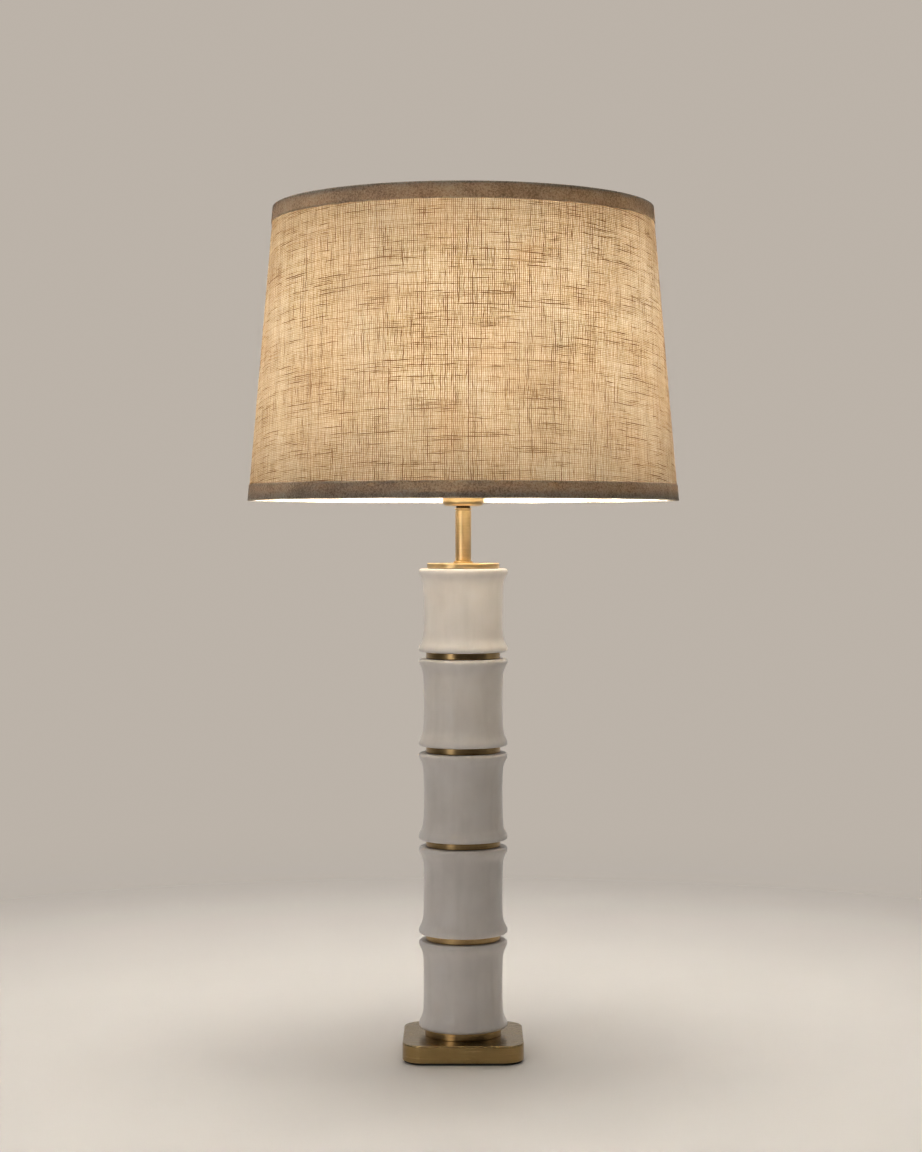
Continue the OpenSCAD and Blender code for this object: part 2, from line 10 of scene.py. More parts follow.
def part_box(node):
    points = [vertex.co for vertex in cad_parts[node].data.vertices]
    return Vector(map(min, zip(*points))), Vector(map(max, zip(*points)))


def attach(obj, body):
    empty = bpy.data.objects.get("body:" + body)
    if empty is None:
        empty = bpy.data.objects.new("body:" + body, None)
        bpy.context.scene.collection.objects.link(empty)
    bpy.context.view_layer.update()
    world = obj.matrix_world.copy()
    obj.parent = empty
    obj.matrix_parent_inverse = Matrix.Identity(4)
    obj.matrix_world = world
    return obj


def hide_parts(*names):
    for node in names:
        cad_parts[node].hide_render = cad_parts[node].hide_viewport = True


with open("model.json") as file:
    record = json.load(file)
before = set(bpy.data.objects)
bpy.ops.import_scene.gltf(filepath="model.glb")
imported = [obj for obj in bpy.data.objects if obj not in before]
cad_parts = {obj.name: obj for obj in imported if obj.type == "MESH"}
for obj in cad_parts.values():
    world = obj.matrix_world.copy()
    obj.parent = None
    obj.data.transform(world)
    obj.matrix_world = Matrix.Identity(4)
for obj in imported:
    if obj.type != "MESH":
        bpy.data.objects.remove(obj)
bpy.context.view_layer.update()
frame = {"nodes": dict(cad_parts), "record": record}

MM = 0.001
TAU = 2 * math.pi
random.seed(90)

# ---------------------------------------------------------------- driving sizes, in metres

SHADE_TOP_R = 0.1793
SHADE_BOTTOM_R = 0.2032
SHADE_Z0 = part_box("bottom_trim")[0][2]
SHADE_Z1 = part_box("top_trim")[1][2]
TRIM_T = 0.7 * MM
TRIM_W = 14.6 * MM
LINEN_T = 0.7 * MM
LINER_T = 0.5 * MM
WIRE_R = 1.6 * MM
WARP = 1.86 * MM             # distance between the linen's upright threads
WEFT = 1.60 * MM             # and between the threads that run round the shade
TWILL = 0.85 * MM            # distance between the trim tape's ribs
LAMP_LEVEL = 0.664           # height at which the bulb lights the shade most

# share of the light that goes on through each sheet of the shade
LINEN_PASSES = 0.165
SLUB_PASSES = 0.15
LINER_PASSES = 0.3125
TAPE_PASSES = 0.64
BULB_STRENGTH = 2600.0

LIP_R = 42 * MM
WAIST_R = 37.1 * MM
LIP_ROUND = 2.6 * MM
FLARE_W = 6.5 * MM

# the shade's cone: its half angle and its apex above the lamp
CONE_A = math.atan2(SHADE_BOTTOM_R - SHADE_TOP_R, SHADE_Z1 - SHADE_Z0)
APEX_Z = SHADE_Z0 + SHADE_BOTTOM_R / math.tan(CONE_A)


def cone_r(z, inset=0.0):
    """Radius of the shade's outer face at height z, less inset."""
    return (APEX_Z - z) * math.tan(CONE_A) - inset


# ---------------------------------------------------------------- mesh helpers

MERGE = 1e-6                 # points closer than this are one
LAMP = "lamp"                # the body that stands still


def link(name, data):
    """A new object in the scene."""
    obj = bpy.data.objects.new(name, data)
    bpy.context.scene.collection.objects.link(obj)
    return obj


def shade_smooth(mesh):
    mesh.polygons.foreach_set("use_smooth", [True] * len(mesh.polygons))


def make_object(name, verts, faces, material, uvs=None):
    """A smooth mesh object from points and faces, with one material and, if given, a UV for each point."""
    mesh = bpy.data.meshes.new(name)
    mesh.from_pydata([tuple(v) for v in verts], [], faces)
    if uvs is not None:
        layer = mesh.uv_layers.new(name="UVMap")
        for loop in mesh.loops:
            layer.data[loop.index].uv = uvs[loop.vertex_index]
    shade_smooth(mesh)
    mesh.materials.append(material)
    mesh.update()
    return link(name, mesh)


def quads(rows, columns, rows_meet=False, columns_meet=True):
    """Faces of a grid of points given row by row. The last row or column can meet the first one."""
    faces = []
    for i in range(rows if rows_meet else rows - 1):
        j = (i + 1) % rows
        for k in range(columns if columns_meet else columns - 1):
            n = (k + 1) % columns
            faces.append((i * columns + k, i * columns + n, j * columns + n, j * columns + k))
    return faces


def end_caps(rows, columns):
    """The two faces that close the ends of such a grid."""
    return [tuple(range(columns - 1, -1, -1)), tuple(range((rows - 1) * columns, rows * columns))]


def loft(name, rings, material, close=False):
    """Skin over rings of equal length. The two ends are capped, or joined if close is set."""
    count = len(rings[0])
    faces = quads(len(rings), count, rows_meet=close)
    if not close:
        faces += end_caps(len(rings), count)
    return outward(make_object(name, [p for ring in rings for p in ring], faces, material))


def outward(obj):
    """Turns all faces of a closed mesh to face out."""
    bm = bmesh.new()
    bm.from_mesh(obj.data)
    bmesh.ops.recalc_face_normals(bm, faces=bm.faces)
    bm.to_mesh(obj.data)
    bm.free()
    return obj


def weight_normals(obj):
    """Keeps large flat faces flat next to small rounded edges."""
    obj.modifiers.new("weighted", "WEIGHTED_NORMAL").keep_sharp = True
    return obj


def fillet(points, radius, steps=4):
    """Rounds the corners of a closed outline of (r, z). radius is one number, or one for each corner."""
    count = len(points)
    radii = radius if isinstance(radius, (list, tuple)) else [radius] * count
    out = []
    for i, p in enumerate(points):
        p = Vector(p)
        a = Vector(points[i - 1]) - p
        b = Vector(points[(i + 1) % count]) - p
        half = a.angle(b) / 2
        reach = min(radii[i] / math.tan(half), a.length * 0.49, b.length * 0.49)
        if reach < 1e-6:
            out.append(tuple(p))
            continue
        start = p + a.normalized() * reach
        end = p + b.normalized() * reach
        for k in range(steps + 1):
            t = k / steps
            out.append(tuple((1 - t) ** 2 * start + 2 * t * (1 - t) * p + t * t * end))
    return out


def lathe(name, outline, material, steps=96, axis_x=0.0):
    """Turns a closed outline of (r, z) about the vertical axis through axis_x, into a solid."""
    verts = []
    uvs = []
    length = 0.0
    for i, (r, z) in enumerate(outline):
        length += 0.0 if i == 0 else math.dist(outline[i - 1], outline[i])
        for k in range(steps):
            a = TAU * k / steps
            verts.append((axis_x + r * math.sin(a), -r * math.cos(a), z))
            uvs.append((k / steps, length))
    obj = make_object(name, verts, quads(len(outline), steps, rows_meet=True), material, uvs)
    bm = bmesh.new()
    bm.from_mesh(obj.data)
    bmesh.ops.remove_doubles(bm, verts=bm.verts, dist=MERGE)
    bmesh.ops.dissolve_degenerate(bm, edges=bm.edges, dist=MERGE / 10)
    bmesh.ops.recalc_face_normals(bm, faces=bm.faces)
    bm.to_mesh(obj.data)
    bm.free()
    shade_smooth(obj.data)
    return obj


def ring_solid(name, r_in, r_out, z0, z1, material, edge=0.3 * MM, steps=96):
    """A washer or tube with softened edges."""
    outline = fillet([(r_in, z0), (r_out, z0), (r_out, z1), (r_in, z1)], edge)
    return weight_normals(lathe(name, outline, material, steps))


def sweep(name, path, radius, material, sides=20, close=False):
    """A round tube along points. radius is a number or a function of 0 to 1 along the path."""
    path = [Vector(p) for p in path]
    count = len(path)
    rings = []
    side = None
    for i, p in enumerate(path):
        ahead = path[(i + 1) % count] if close or i < count - 1 else p
        behind = path[i - 1] if close or i > 0 else p
        along = (ahead - behind).normalized()
        if side is None:
            side = along.orthogonal().normalized()
        side = (side - along * side.dot(along)).normalized()
        up = along.cross(side)
        r = radius(i / (count - 1)) if callable(radius) else radius
        ring = []
        for k in range(sides):
            a = TAU * k / sides
            ring.append(p + side * (r * math.cos(a)) + up * (r * math.sin(a)))
        rings.append(ring)
    return loft(name, rings, material, close)


def bevelled_box(name, size, centre, material, edge=0.3 * MM, segments=3):
    """A box with rounded edges."""
    bm = bmesh.new()
    bmesh.ops.create_cube(bm, size=1.0)
    for v in bm.verts:
        v.co = Vector(v.co[i] * size[i] + centre[i] for i in range(3))
    bmesh.ops.bevel(bm, geom=bm.edges[:], offset=edge, segments=segments, affect="EDGES", profile=0.5)
    mesh = bpy.data.meshes.new(name)
    bm.to_mesh(mesh)
    bm.free()
    shade_smooth(mesh)
    mesh.materials.append(material)
    return weight_normals(link(name, mesh))


def drill(obj, radius, y, z, depth):
    """Cuts a round hole that runs along Y through the point (0, y, z)."""
    bm = bmesh.new()
    bmesh.ops.create_cone(bm, cap_ends=True, segments=48, radius1=radius, radius2=radius, depth=depth)
    bmesh.ops.rotate(bm, verts=bm.verts, matrix=Euler((math.pi / 2, 0, 0)).to_matrix())
    bmesh.ops.translate(bm, verts=bm.verts, vec=(0, y, z))
    mesh = bpy.data.meshes.new("drill")
    bm.to_mesh(mesh)
    bm.free()
    bit = link("drill", mesh)
    cut = obj.modifiers.new("cut", "BOOLEAN")
    cut.operation = "DIFFERENCE"
    cut.object = bit
    cut.solver = "EXACT"
    graph = bpy.context.evaluated_depsgraph_get()
    obj.data = bpy.data.meshes.new_from_object(obj.evaluated_get(graph))
    obj.modifiers.clear()
    bpy.data.objects.remove(bit)
    shade_smooth(obj.data)
    return obj


def screw(name, r, groove, z0, z1, pitch, material, rounded=False, steps=72, rows_per_turn=10):
    """A solid screw: a helical groove round a rod, fading out at both ends."""
    rows = round((z1 - z0) / pitch * rows_per_turn)
    end_depth = groove * 0.4
    rings = []
    for j in range(rows + 1):
        z = z0 + (z1 - z0) * j / rows
        fade = min(1.0, (z - z0) / pitch, (z1 - z) / pitch)
        ring = []
        for k in range(steps):
            phase = ((z - z0) / pitch - k / steps) % 1.0
            dip = (1 - math.cos(TAU * phase)) / 2 if rounded else abs(2 * phase - 1)
            depth = groove * dip * fade + (0 if fade > 0 else end_depth)
            a = TAU * k / steps
            ring.append(((r - depth) * math.sin(a), -(r - depth) * math.cos(a), z))
        rings.append(ring)
    return loft(name, rings, material)


def join(name, parts):
    """Joins objects into the first one, under a new name, with their modifiers applied."""
    graph = bpy.context.evaluated_depsgraph_get()
    bm = bmesh.new()
    materials = []
    for part in parts:
        mesh = part.evaluated_get(graph).to_mesh()
        base = len(bm.faces)
        bm.from_mesh(mesh)
        bm.faces.ensure_lookup_table()
        material = part.data.materials[0]
        if material not in materials:
            materials.append(material)
        for face in bm.faces[base:]:
            face.material_index = materials.index(material)
        part.to_mesh_clear()
    mesh = bpy.data.meshes.new(name)
    bm.to_mesh(mesh)
    bm.free()
    for material in materials:
        mesh.materials.append(material)
    for part in parts:
        bpy.data.objects.remove(part)
    return weight_normals(link(name, mesh))


def place(obj, body, slot, *nodes):
    """The piece rides on a body and stands for CAD nodes, which it hides. slot is not used."""
    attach(obj, body)
    if nodes:
        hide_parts(*nodes)
    return obj


def turned(name, node, outline, slot, steps=96, body=LAMP, axis_x=0.0, weighted=True):
    """A turned piece: its outline, finish and body, and the CAD node that it stands for."""
    obj = lathe(name, outline, MATERIALS[slot], steps, axis_x)
    if weighted:
        weight_normals(obj)
    return place(obj, body, slot, node)


def sleeve_outline(bore, r, z0, z1, corners, steps):
    """A ring's outline of (r, z), from its lower inner corner anticlockwise, with rounded corners."""
    return fillet([(bore, z0), (r, z0), (r, z1), (bore, z1)], corners, steps)


# ---------------------------------------------------------------- material helpers


class Graph:
    """A short way to write the node tree of a material, or of a world if one is given."""

    def __init__(self, name, world=None):
        self.material = world or bpy.data.materials.new(name)
        self.material.use_nodes = True
        self.tree = self.material.node_tree
        self.tree.nodes.clear()
        self.out = self.add("ShaderNodeOutputWorld" if world else "ShaderNodeOutputMaterial")

    def add(self, kind, inputs=None, **settings):
        node = self.tree.nodes.new(kind)
        for key, value in settings.items():
            setattr(node, key, value)
        for key, value in (inputs or {}).items():
            self.put(node.inputs[key], value)
        return node

    def put(self, socket, value):
        if isinstance(value, bpy.types.NodeSocket):
            self.tree.links.new(value, socket)
        else:
            socket.default_value = value

    def math(self, operation, a, b=0.0, c=0.0, clamp=False):
        node = self.add("ShaderNodeMath", operation=operation, use_clamp=clamp)
        for socket, value in zip(node.inputs, (a, b, c)):
            self.put(socket, value)
        return node.outputs[0]

    def split(self, vector):
        return self.add("ShaderNodeSeparateXYZ", {0: vector}).outputs

    def combine(self, x, y, z):
        return self.add("ShaderNodeCombineXYZ", {0: x, 1: y, 2: z}).outputs[0]

    def coords(self, kind="Object"):
        return self.add("ShaderNodeTexCoord").outputs[kind]

    def stretch(self, vector, scale):
        return self.add("ShaderNodeMapping", {"Vector": vector, "Scale": scale}).outputs[0]

    def axis_distance(self, vector):
        x, y, _ = self.split(vector)
        squares = self.math("ADD", self.math("MULTIPLY", x, x), self.math("MULTIPLY", y, y))
        return self.math("SQRT", squares)

    def weigh(self, a, a_share, b, b_share):
        """Two values, each times its share, added."""
        return self.math("ADD", self.math("MULTIPLY", a, a_share), self.math("MULTIPLY", b, b_share))

    def noise(self, vector, scale, detail=3.0, rough=0.55):
        inputs = {"Vector": vector, "Scale": scale, "Detail": detail, "Roughness": rough}
        return self.add("ShaderNodeTexNoise", inputs).outputs["Fac"]

    def ramp(self, fac, stops, mode="LINEAR"):
        node = self.add("ShaderNodeValToRGB", {"Fac": fac})
        node.color_ramp.interpolation = mode
        elements = node.color_ramp.elements
        while len(elements) < len(stops):
            elements.new(0.5)
        for element, (at, colour) in zip(elements, stops):
            element.position = at
            element.color = (*colour, 1.0)
        return node.outputs["Color"]

    def level(self, fac, low, high, to_low=0.0, to_high=1.0, kind="LINEAR"):
        node = self.add("ShaderNodeMapRange", {0: fac, 1: low, 2: high, 3: to_low, 4: to_high})
        node.clamp = True
        node.interpolation_type = kind
        return node.outputs[0]

    def mix(self, fac, a, b, blend="MIX"):
        node = self.add("ShaderNodeMix", data_type="RGBA", blend_type=blend)
        self.put(node.inputs[0], fac)
        self.put(node.inputs[6], (*a, 1.0) if isinstance(a, tuple) else a)
        self.put(node.inputs[7], (*b, 1.0) if isinstance(b, tuple) else b)
        return node.outputs[2]

    def bump(self, height, distance, strength=1.0):
        node = self.add("ShaderNodeBump", {"Height": height, "Distance": distance, "Strength": strength})
        return node.outputs[0]

    def surface(self, socket):
        self.tree.links.new(socket, self.out.inputs["Surface"])
        return self.material

    def blend(self, share, first, second):
        """Two shaders in one surface. share is how much of it is the second one."""
        inputs = {0: share, 1: first.outputs[0], 2: second.outputs[0]}
        return self.surface(self.add("ShaderNodeMixShader", inputs).outputs[0])

    def principled(self, **inputs):
        named = {key.replace("_", " "): value for key, value in inputs.items()}
        node = self.add("ShaderNodeBsdfPrincipled", named)
        return self.surface(node.outputs[0])


def brushed_metal(name, dark, light, rough, grain=2600.0, along=None):
    """Metal with fine brush lines: in one direction if along is given, else round the axis."""
    g = Graph(name)
    p = g.coords()
    if along:
        streak = g.noise(g.stretch(p, along), 1.0, 3.0)
        depth = 0.008 * MM
    else:
        r = g.axis_distance(p)
        z = g.split(p)[2]
        lines = g.noise(g.combine(g.math("MULTIPLY", r, grain), g.math("MULTIPLY", z, grain), 0.0), 1.0, 2.0)
        broken = g.noise(g.stretch(p, (60, 60, grain)), 1.0, 2.0)
        streak = g.weigh(lines, 0.5, broken, 0.5)
        depth = 0.03 * MM
    patina = g.noise(p, 55.0, 4.0, 0.6)
    blotch = g.noise(p, 14.0, 2.0)
    colour = g.ramp(g.weigh(patina, 0.45, streak, 0.55), [(0.34, dark), (0.66, light)])
    colour = g.mix(g.level(blotch, 0.45, 0.75, 0.0, 0.25), colour, tuple(c * 0.6 for c in dark))
    roughness = g.math("ADD", g.level(streak, 0.3, 0.7, rough - 0.06, rough + 0.07),
                       g.level(patina, 0.4, 0.7, 0.0, 0.06))
    return g.principled(Base_Color=colour, Metallic=1.0, Roughness=roughness,
                        Normal=g.bump(streak, depth, 0.5))


def plain_metal(name, colour, rough):
    """Plated or drawn metal with faint mottling and handling marks."""
    g = Graph(name)
    p = g.coords()
    mottle = g.noise(p, 180.0, 4.0)
    marks = g.noise(g.stretch(p, (900, 900, 120)), 1.0, 3.0)
    shade = g.mix(g.level(mottle, 0.35, 0.7), colour, tuple(c * 0.72 for c in colour))
    roughness = g.level(marks, 0.3, 0.75, rough - 0.08, rough + 0.1)
    return g.principled(Base_Color=shade, Metallic=1.0, Roughness=roughness,
                        Normal=g.bump(marks, 0.02 * MM, 0.4))


def moulded(name, colour, rough, pores=600.0, depth=0.05 * MM):
    """Moulded plastic or rubber with a fine grain and slightly uneven colour."""
    g = Graph(name)
    p = g.coords()
    grain = g.noise(p, pores, 4.0, 0.6)
    cloud = g.noise(p, 60.0, 2.0)
    shade = g.mix(g.level(cloud, 0.35, 0.7, 0.0, 0.6), colour, tuple(c * 0.78 for c in colour))
    roughness = g.level(grain, 0.3, 0.7, rough - 0.06, rough + 0.08)
    return g.principled(Base_Color=shade, Roughness=roughness, Normal=g.bump(grain, depth, 0.5))


def ceramic_material(name, seed, tone=1.0):
    """Satin white glaze: soft mottling, faint runs and a few specks. tone scales its colour and is used to
    paint the lamp's light: lighter on the top segment, darker on the lower ones.
    """
    g = Graph(name)
    p = g.add("ShaderNodeMapping", {"Vector": g.coords(), "Location": (seed, seed * 0.7, 0)}).outputs[0]
    cloud = g.noise(p, 22.0, 3.0, 0.5)
    runs = g.noise(g.stretch(p, (90, 90, 9)), 1.0, 3.0)
    fine = g.noise(p, 900.0, 3.0, 0.6)
    specks = g.add("ShaderNodeTexVoronoi", {"Vector": p, "Scale": 170.0}).outputs["Distance"]
    colour = g.ramp(cloud, [(0.3, (0.80, 0.755, 0.725)), (0.5, (0.87, 0.825, 0.795)),
                            (0.72, (0.91, 0.87, 0.85))])
    colour = g.mix(g.level(runs, 0.45, 0.7, 0.0, 0.25), colour, (0.66, 0.63, 0.59))
    colour = g.mix(g.level(specks, 0.03, 0.07, 0.35, 0.0), colour, (0.42, 0.37, 0.31))
    colour = g.mix(1.0, colour, (tone, tone, tone), "MULTIPLY")
    height = g.weigh(cloud, 0.6, fine, 0.12)
    roughness = g.level(runs, 0.3, 0.7, 0.36, 0.47)
    return g.principled(Base_Color=colour, Roughness=roughness, Normal=g.bump(height, 0.25 * MM, 0.35),
                        Coat_Weight=0.12, Coat_Roughness=0.3, Specular_IOR_Level=0.42)


def thread_set(g, across, along, seed, base, own_share, slub_share):
    """Threads that run along one direction: how much light each stops at a point, and its height there."""
    number = g.math("ADD", g.math("FLOOR", across), seed)
    own = g.add("ShaderNodeTexWhiteNoise", {"W": number}, noise_dimensions="1D").outputs["Value"]
    lane = g.math("MULTIPLY", own, 311.0)

    def drift(pace, shift, detail, rough):
        at = g.combine(lane, g.math("MULTIPLY", along, pace), seed + shift)
        return g.noise(at, 1.0, detail, rough)

    wander = drift(0.16, 9.0, 2.0, 0.55)
    at = g.math("ADD", g.math("FRACT", across), g.math("SUBTRACT", g.math("MULTIPLY", wander, 0.8), 0.9))
    thin = g.level(wander, 0.3, 0.7, 4.2, 7.4)
    profile = g.math("SUBTRACT", 1.0, g.math("MULTIPLY", g.math("MULTIPLY", at, at), thin), clamp=True)
    run = g.level(drift(0.038, 0.0, 2.0, 0.6), 0.53, 0.74)
    short = g.level(drift(0.17, 5.0, 3.0, 0.7), 0.32, 0.68)
    slub = g.math("MULTIPLY", run, g.math("ADD", g.math("MULTIPLY", short, 0.9), 0.30))
    tone = g.weigh(own, own_share, slub, slub_share)
    tone = g.math("ADD", tone, g.math("MULTIPLY", short, 0.22))
    tone = g.math("ADD", tone, base)
    return g.math("MULTIPLY", tone, profile, clamp=True), profile


def linen_material():
    """Coarse natural linen, lit from inside: close threads with slubs that let less light through."""
    g = Graph("linen")
    u, v, _ = g.split(g.coords("UV"))
    flat = g.combine(u, v, 0.0)
    sway = g.math("MULTIPLY", g.math("SUBTRACT", g.noise(flat, 34.0, 2.0), 0.5), 1.3)
    across = g.math("ADD", g.math("DIVIDE", u, WARP), sway)
    along = g.math("ADD", g.math("DIVIDE", v, WEFT), sway)
    warp, warp_height = thread_set(g, across, along, 11.0, 0.40, 0.28, 0.80)
    weft, weft_height = thread_set(g, along, across, 47.0, 0.18, 0.24, 1.15)
    clear = g.math("MULTIPLY", g.math("SUBTRACT", 1.0, warp), g.math("SUBTRACT", 1.0, weft))
    cloud = g.noise(flat, 18.0, 3.0, 0.6)
    density = g.math("ADD", g.math("SUBTRACT", 1.0, clear), g.level(cloud, 0.3, 0.7, -0.07, 0.08))
    through = g.ramp(density, [(0.0, (1.0, 1.0, 1.0)), (0.30, (0.86, 0.73, 0.53)),
                               (0.64, (0.44, 0.27, 0.115)), (0.97, (0.13, 0.060, 0.016))])
    pink = g.noise(flat, 19.0, 3.0, 0.6)
    through = g.mix(g.level(pink, 0.42, 0.66, 0.0, 0.9), through, (1.0, 0.93, 0.87), "MULTIPLY")
    surface = g.ramp(density, [(0.1, (0.58, 0.47, 0.33)), (0.6, (0.42, 0.30, 0.17)),
                               (0.95, (0.20, 0.11, 0.05))])
    normal = g.bump(g.math("ADD", warp_height, weft_height), 0.25 * MM, 0.7)
    reflect = g.add("ShaderNodeBsdfDiffuse", {"Color": surface, "Roughness": 0.9, "Normal": normal})
    transmit = g.add("ShaderNodeBsdfTranslucent", {"Color": through, "Normal": normal})
    return g.blend(LINEN_PASSES, reflect, transmit)


def liner_material():
    """Thin white styrene: part of the light goes straight through and the rest is spread. The share that
    passes is painted light: lower at the bulb's height and higher near the rims, to even out the shade's
    glow. The styrene is not thinner there.
    """
    g = Graph("liner")
    cloud = g.noise(g.coords(), 30.0, 2.0)
    away = g.math("ABSOLUTE", g.math("SUBTRACT", g.split(g.coords())[2], LAMP_LEVEL))
    # painted light: this mask lowers the passed light at the bulb's height and raises it towards the rims, to
    # even out the glow
    glow_evening_mask = g.level(away, 0.01, 0.11, kind="SMOOTHSTEP")
    colour = g.ramp(cloud, [(0.3, (0.90, 0.86, 0.78)), (0.7, (0.93, 0.90, 0.83))])
    reflect = g.add("ShaderNodeBsdfDiffuse", {"Color": colour, "Roughness": 0.4})
    passed = g.mix(glow_evening_mask, (0.80, 0.784, 0.752), (1.0, 0.98, 0.94))
    clear = g.add("ShaderNodeBsdfTransparent", {"Color": passed})
    return g.blend(LINER_PASSES, reflect, clear)


def trim_material():
    """Grey-brown woven tape with a close diagonal weave and stray lighter fibres."""
    g = Graph("trim_tape")
    p = g.coords()
    x, y, z = g.split(p)
    along = g.math("MULTIPLY", g.math("ARCTAN2", x, y), SHADE_BOTTOM_R / TWILL)
    rise = g.math("DIVIDE", z, TWILL)
    twill = g.math("SINE", g.math("MULTIPLY", g.math("ADD", along, rise), TAU))
    ribs = g.level(twill, -1.0, 1.0)
    fibre = g.noise(p, 620.0, 3.0, 0.65)
    cloud = g.noise(p, 45.0, 3.0)
    tone = g.weigh(fibre, 0.75, ribs, 0.13)
    tone = g.math("ADD", tone, g.level(cloud, 0.3, 0.7, -0.06, 0.08))
    colour = g.ramp(tone, [(0.30, (0.42, 0.34, 0.27)), (0.46, (0.84, 0.75, 0.63)), (0.62, (1.0, 0.95, 0.87))])
    normal = g.bump(g.weigh(fibre, 0.7, ribs, 0.3), 0.35 * MM, 0.8)
    cloth = g.add("ShaderNodeBsdfPrincipled", {"Base Color": colour, "Roughness": 0.92, "Normal": normal,
                                               "Sheen Weight": 0.25, "Sheen Roughness": 0.5,
                                               "Specular IOR Level": 0.2})
    glow = g.ramp(tone, [(0.30, (0.50, 0.40, 0.31)), (0.46, (0.94, 0.84, 0.70)), (0.62, (1.0, 1.0, 0.94))])
    transmit = g.add("ShaderNodeBsdfTranslucent", {"Color": glow, "Normal": normal})
    return g.blend(TAPE_PASSES, cloth, transmit)


def glowing(name, colour, strength):
    """Opal plastic of a lit bulb: brightest round its widest part, dimmer on the crown."""
    g = Graph(name)
    p = g.coords()
    soft = g.noise(p, 25.0, 2.0)
    tint = g.mix(g.level(soft, 0.3, 0.7, 0.0, 0.3), colour, tuple(c * 0.93 for c in colour))
    low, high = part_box("bulb_diffuser")
    crown = g.level(g.split(p)[2], low[2], low[2] + 0.65 * (high[2] - low[2]))
    tint = g.mix(crown, tint, tuple(c * 0.12 for c in colour))
    return g.principled(Base_Color=(0.9, 0.88, 0.84, 1), Roughness=0.35, Emission_Color=tint,
                        Emission_Strength=strength)


def cast_iron():
    """Rough black casting."""
    g = Graph("cast_iron")
    p = g.coords()
    grit = g.noise(p, 420.0, 5.0, 0.65)
    colour = g.ramp(grit, [(0.3, (0.02, 0.02, 0.022)), (0.7, (0.07, 0.062, 0.055))])
    return g.principled(Base_Color=colour, Metallic=0.6, Roughness=0.75, Normal=g.bump(grit, 0.5 * MM, 0.7))


def fibre_board():
    """Pressed brown fibre."""
    g = Graph("fibre_sleeve")
    p = g.coords()
    strands = g.noise(g.stretch(p, (300, 300, 900)), 1.0, 4.0, 0.6)
    colour = g.ramp(strands, [(0.3, (0.28, 0.18, 0.09)), (0.7, (0.5, 0.36, 0.21))])
    return g.principled(Base_Color=colour, Roughness=0.85, Normal=g.bump(strands, 0.1 * MM, 0.6))


def floor_material():
    """Plain pale floor that fades into the backdrop far from the lamp."""
    g = Graph("floor")
    p = g.coords()
    cloud = g.noise(p, 3.0, 3.0)
    colour = g.ramp(cloud, [(0.3, (0.83, 0.79, 0.745)), (0.7, (0.86, 0.82, 0.775))])
    body = g.add("ShaderNodeBsdfPrincipled", {"Base Color": colour, "Roughness": 0.55})
    clear = g.add("ShaderNodeBsdfTransparent")
    fade = g.level(g.axis_distance(p), 0.0, FLOOR_FADES_BY, kind="SMOOTHSTEP")
    return g.blend(fade, body, clear)


FLOOR_FADES_BY = 1.7
ANTIQUE_DARK = (0.255, 0.172, 0.070)
ANTIQUE_LIGHT = (0.37, 0.258, 0.112)
# Painted light in part: the satin brass is lighter than the antique brass, partly to paint the lamp's light
# on the neck tube, the disc and the socket cup. The harp and the other fittings share it.
SATIN_LAMPLIT_DARK = (0.60, 0.415, 0.185)
SATIN_LAMPLIT_LIGHT = (0.88, 0.65, 0.36)

MATERIALS = {
    "antique_brass": brushed_metal("antique_brass", (0.29, 0.185, 0.075), (0.64, 0.45, 0.22), 0.30),
    "satin_brass": brushed_metal("satin_brass", SATIN_LAMPLIT_DARK, SATIN_LAMPLIT_LIGHT, 0.34),
    "glazed_ceramic": ceramic_material("glazed_ceramic", 0.0),
    "linen": linen_material(),
    "trim_tape": trim_material(),
    "white_liner": liner_material(),
    "plated_steel": plain_metal("plated_steel", (0.62, 0.62, 0.60), 0.32),
    "cast_iron": cast_iron(),
    "rubber_pad": moulded("rubber_pad", (0.018, 0.017, 0.016), 0.85),
    "gasket_rubber": moulded("gasket_rubber", (0.03, 0.028, 0.026), 0.8),
    "brown_plastic": moulded("brown_plastic", (0.085, 0.045, 0.025), 0.45),
    "black_plastic": moulded("black_plastic", (0.02, 0.02, 0.021), 0.32, 900.0, 0.02 * MM),
    "white_plastic": moulded("white_plastic", (0.84, 0.83, 0.80), 0.42),
    "fibre_sleeve": fibre_board(),
    "lead_black": moulded("lead_black", (0.02, 0.02, 0.02), 0.5),
    "lead_white": moulded("lead_white", (0.8, 0.8, 0.77), 0.5),
    "cap_metal": plain_metal("cap_metal", (0.76, 0.75, 0.72), 0.26),
    "led_board": moulded("led_board", (0.84, 0.84, 0.80), 0.5),
    "bulb_diffuser": glowing("bulb_diffuser", (1.0, 0.97, 0.88), BULB_STRENGTH),
}

# every CAD node that stays takes the finish of its slot
for part in frame["record"]["subparts"]:
    obj = frame["nodes"][part["node"]]
    for slot in obj.material_slots:
        slot.material = MATERIALS[part["material_slot"]]


# ---------------------------------------------------------------- camera

CAMERA_Z = 0.495
CAMERA_D = 2.1736
CAMERA_DOWN = math.radians(1.12)
CAMERA_LEFT = math.radians(0.055)
LENS = 71.8

camera_data = bpy.data.cameras.new("camera")
camera_data.lens = LENS
camera_data.sensor_width = 36.0
camera = link("camera", camera_data)
camera.location = (0, -CAMERA_D, CAMERA_Z)
camera.rotation_euler = Euler((math.pi / 2 - CAMERA_DOWN, 0, CAMERA_LEFT))
bpy.context.scene.camera = camera

# ---------------------------------------------------------------- base

CORNER_R = 21 * MM
CORNER_STEPS = 14
CORD_Z = 6.4 * MM            # height of the cord's hole over the plate's lower edge

BASE_SIDE = brushed_metal("antique_brass_side", ANTIQUE_DARK, ANTIQUE_LIGHT, 0.19, along=(12, 12, 2400))
BASE_TOP = brushed_metal("antique_brass_top", ANTIQUE_DARK, ANTIQUE_LIGHT, 0.24, along=(24, 2400, 24))


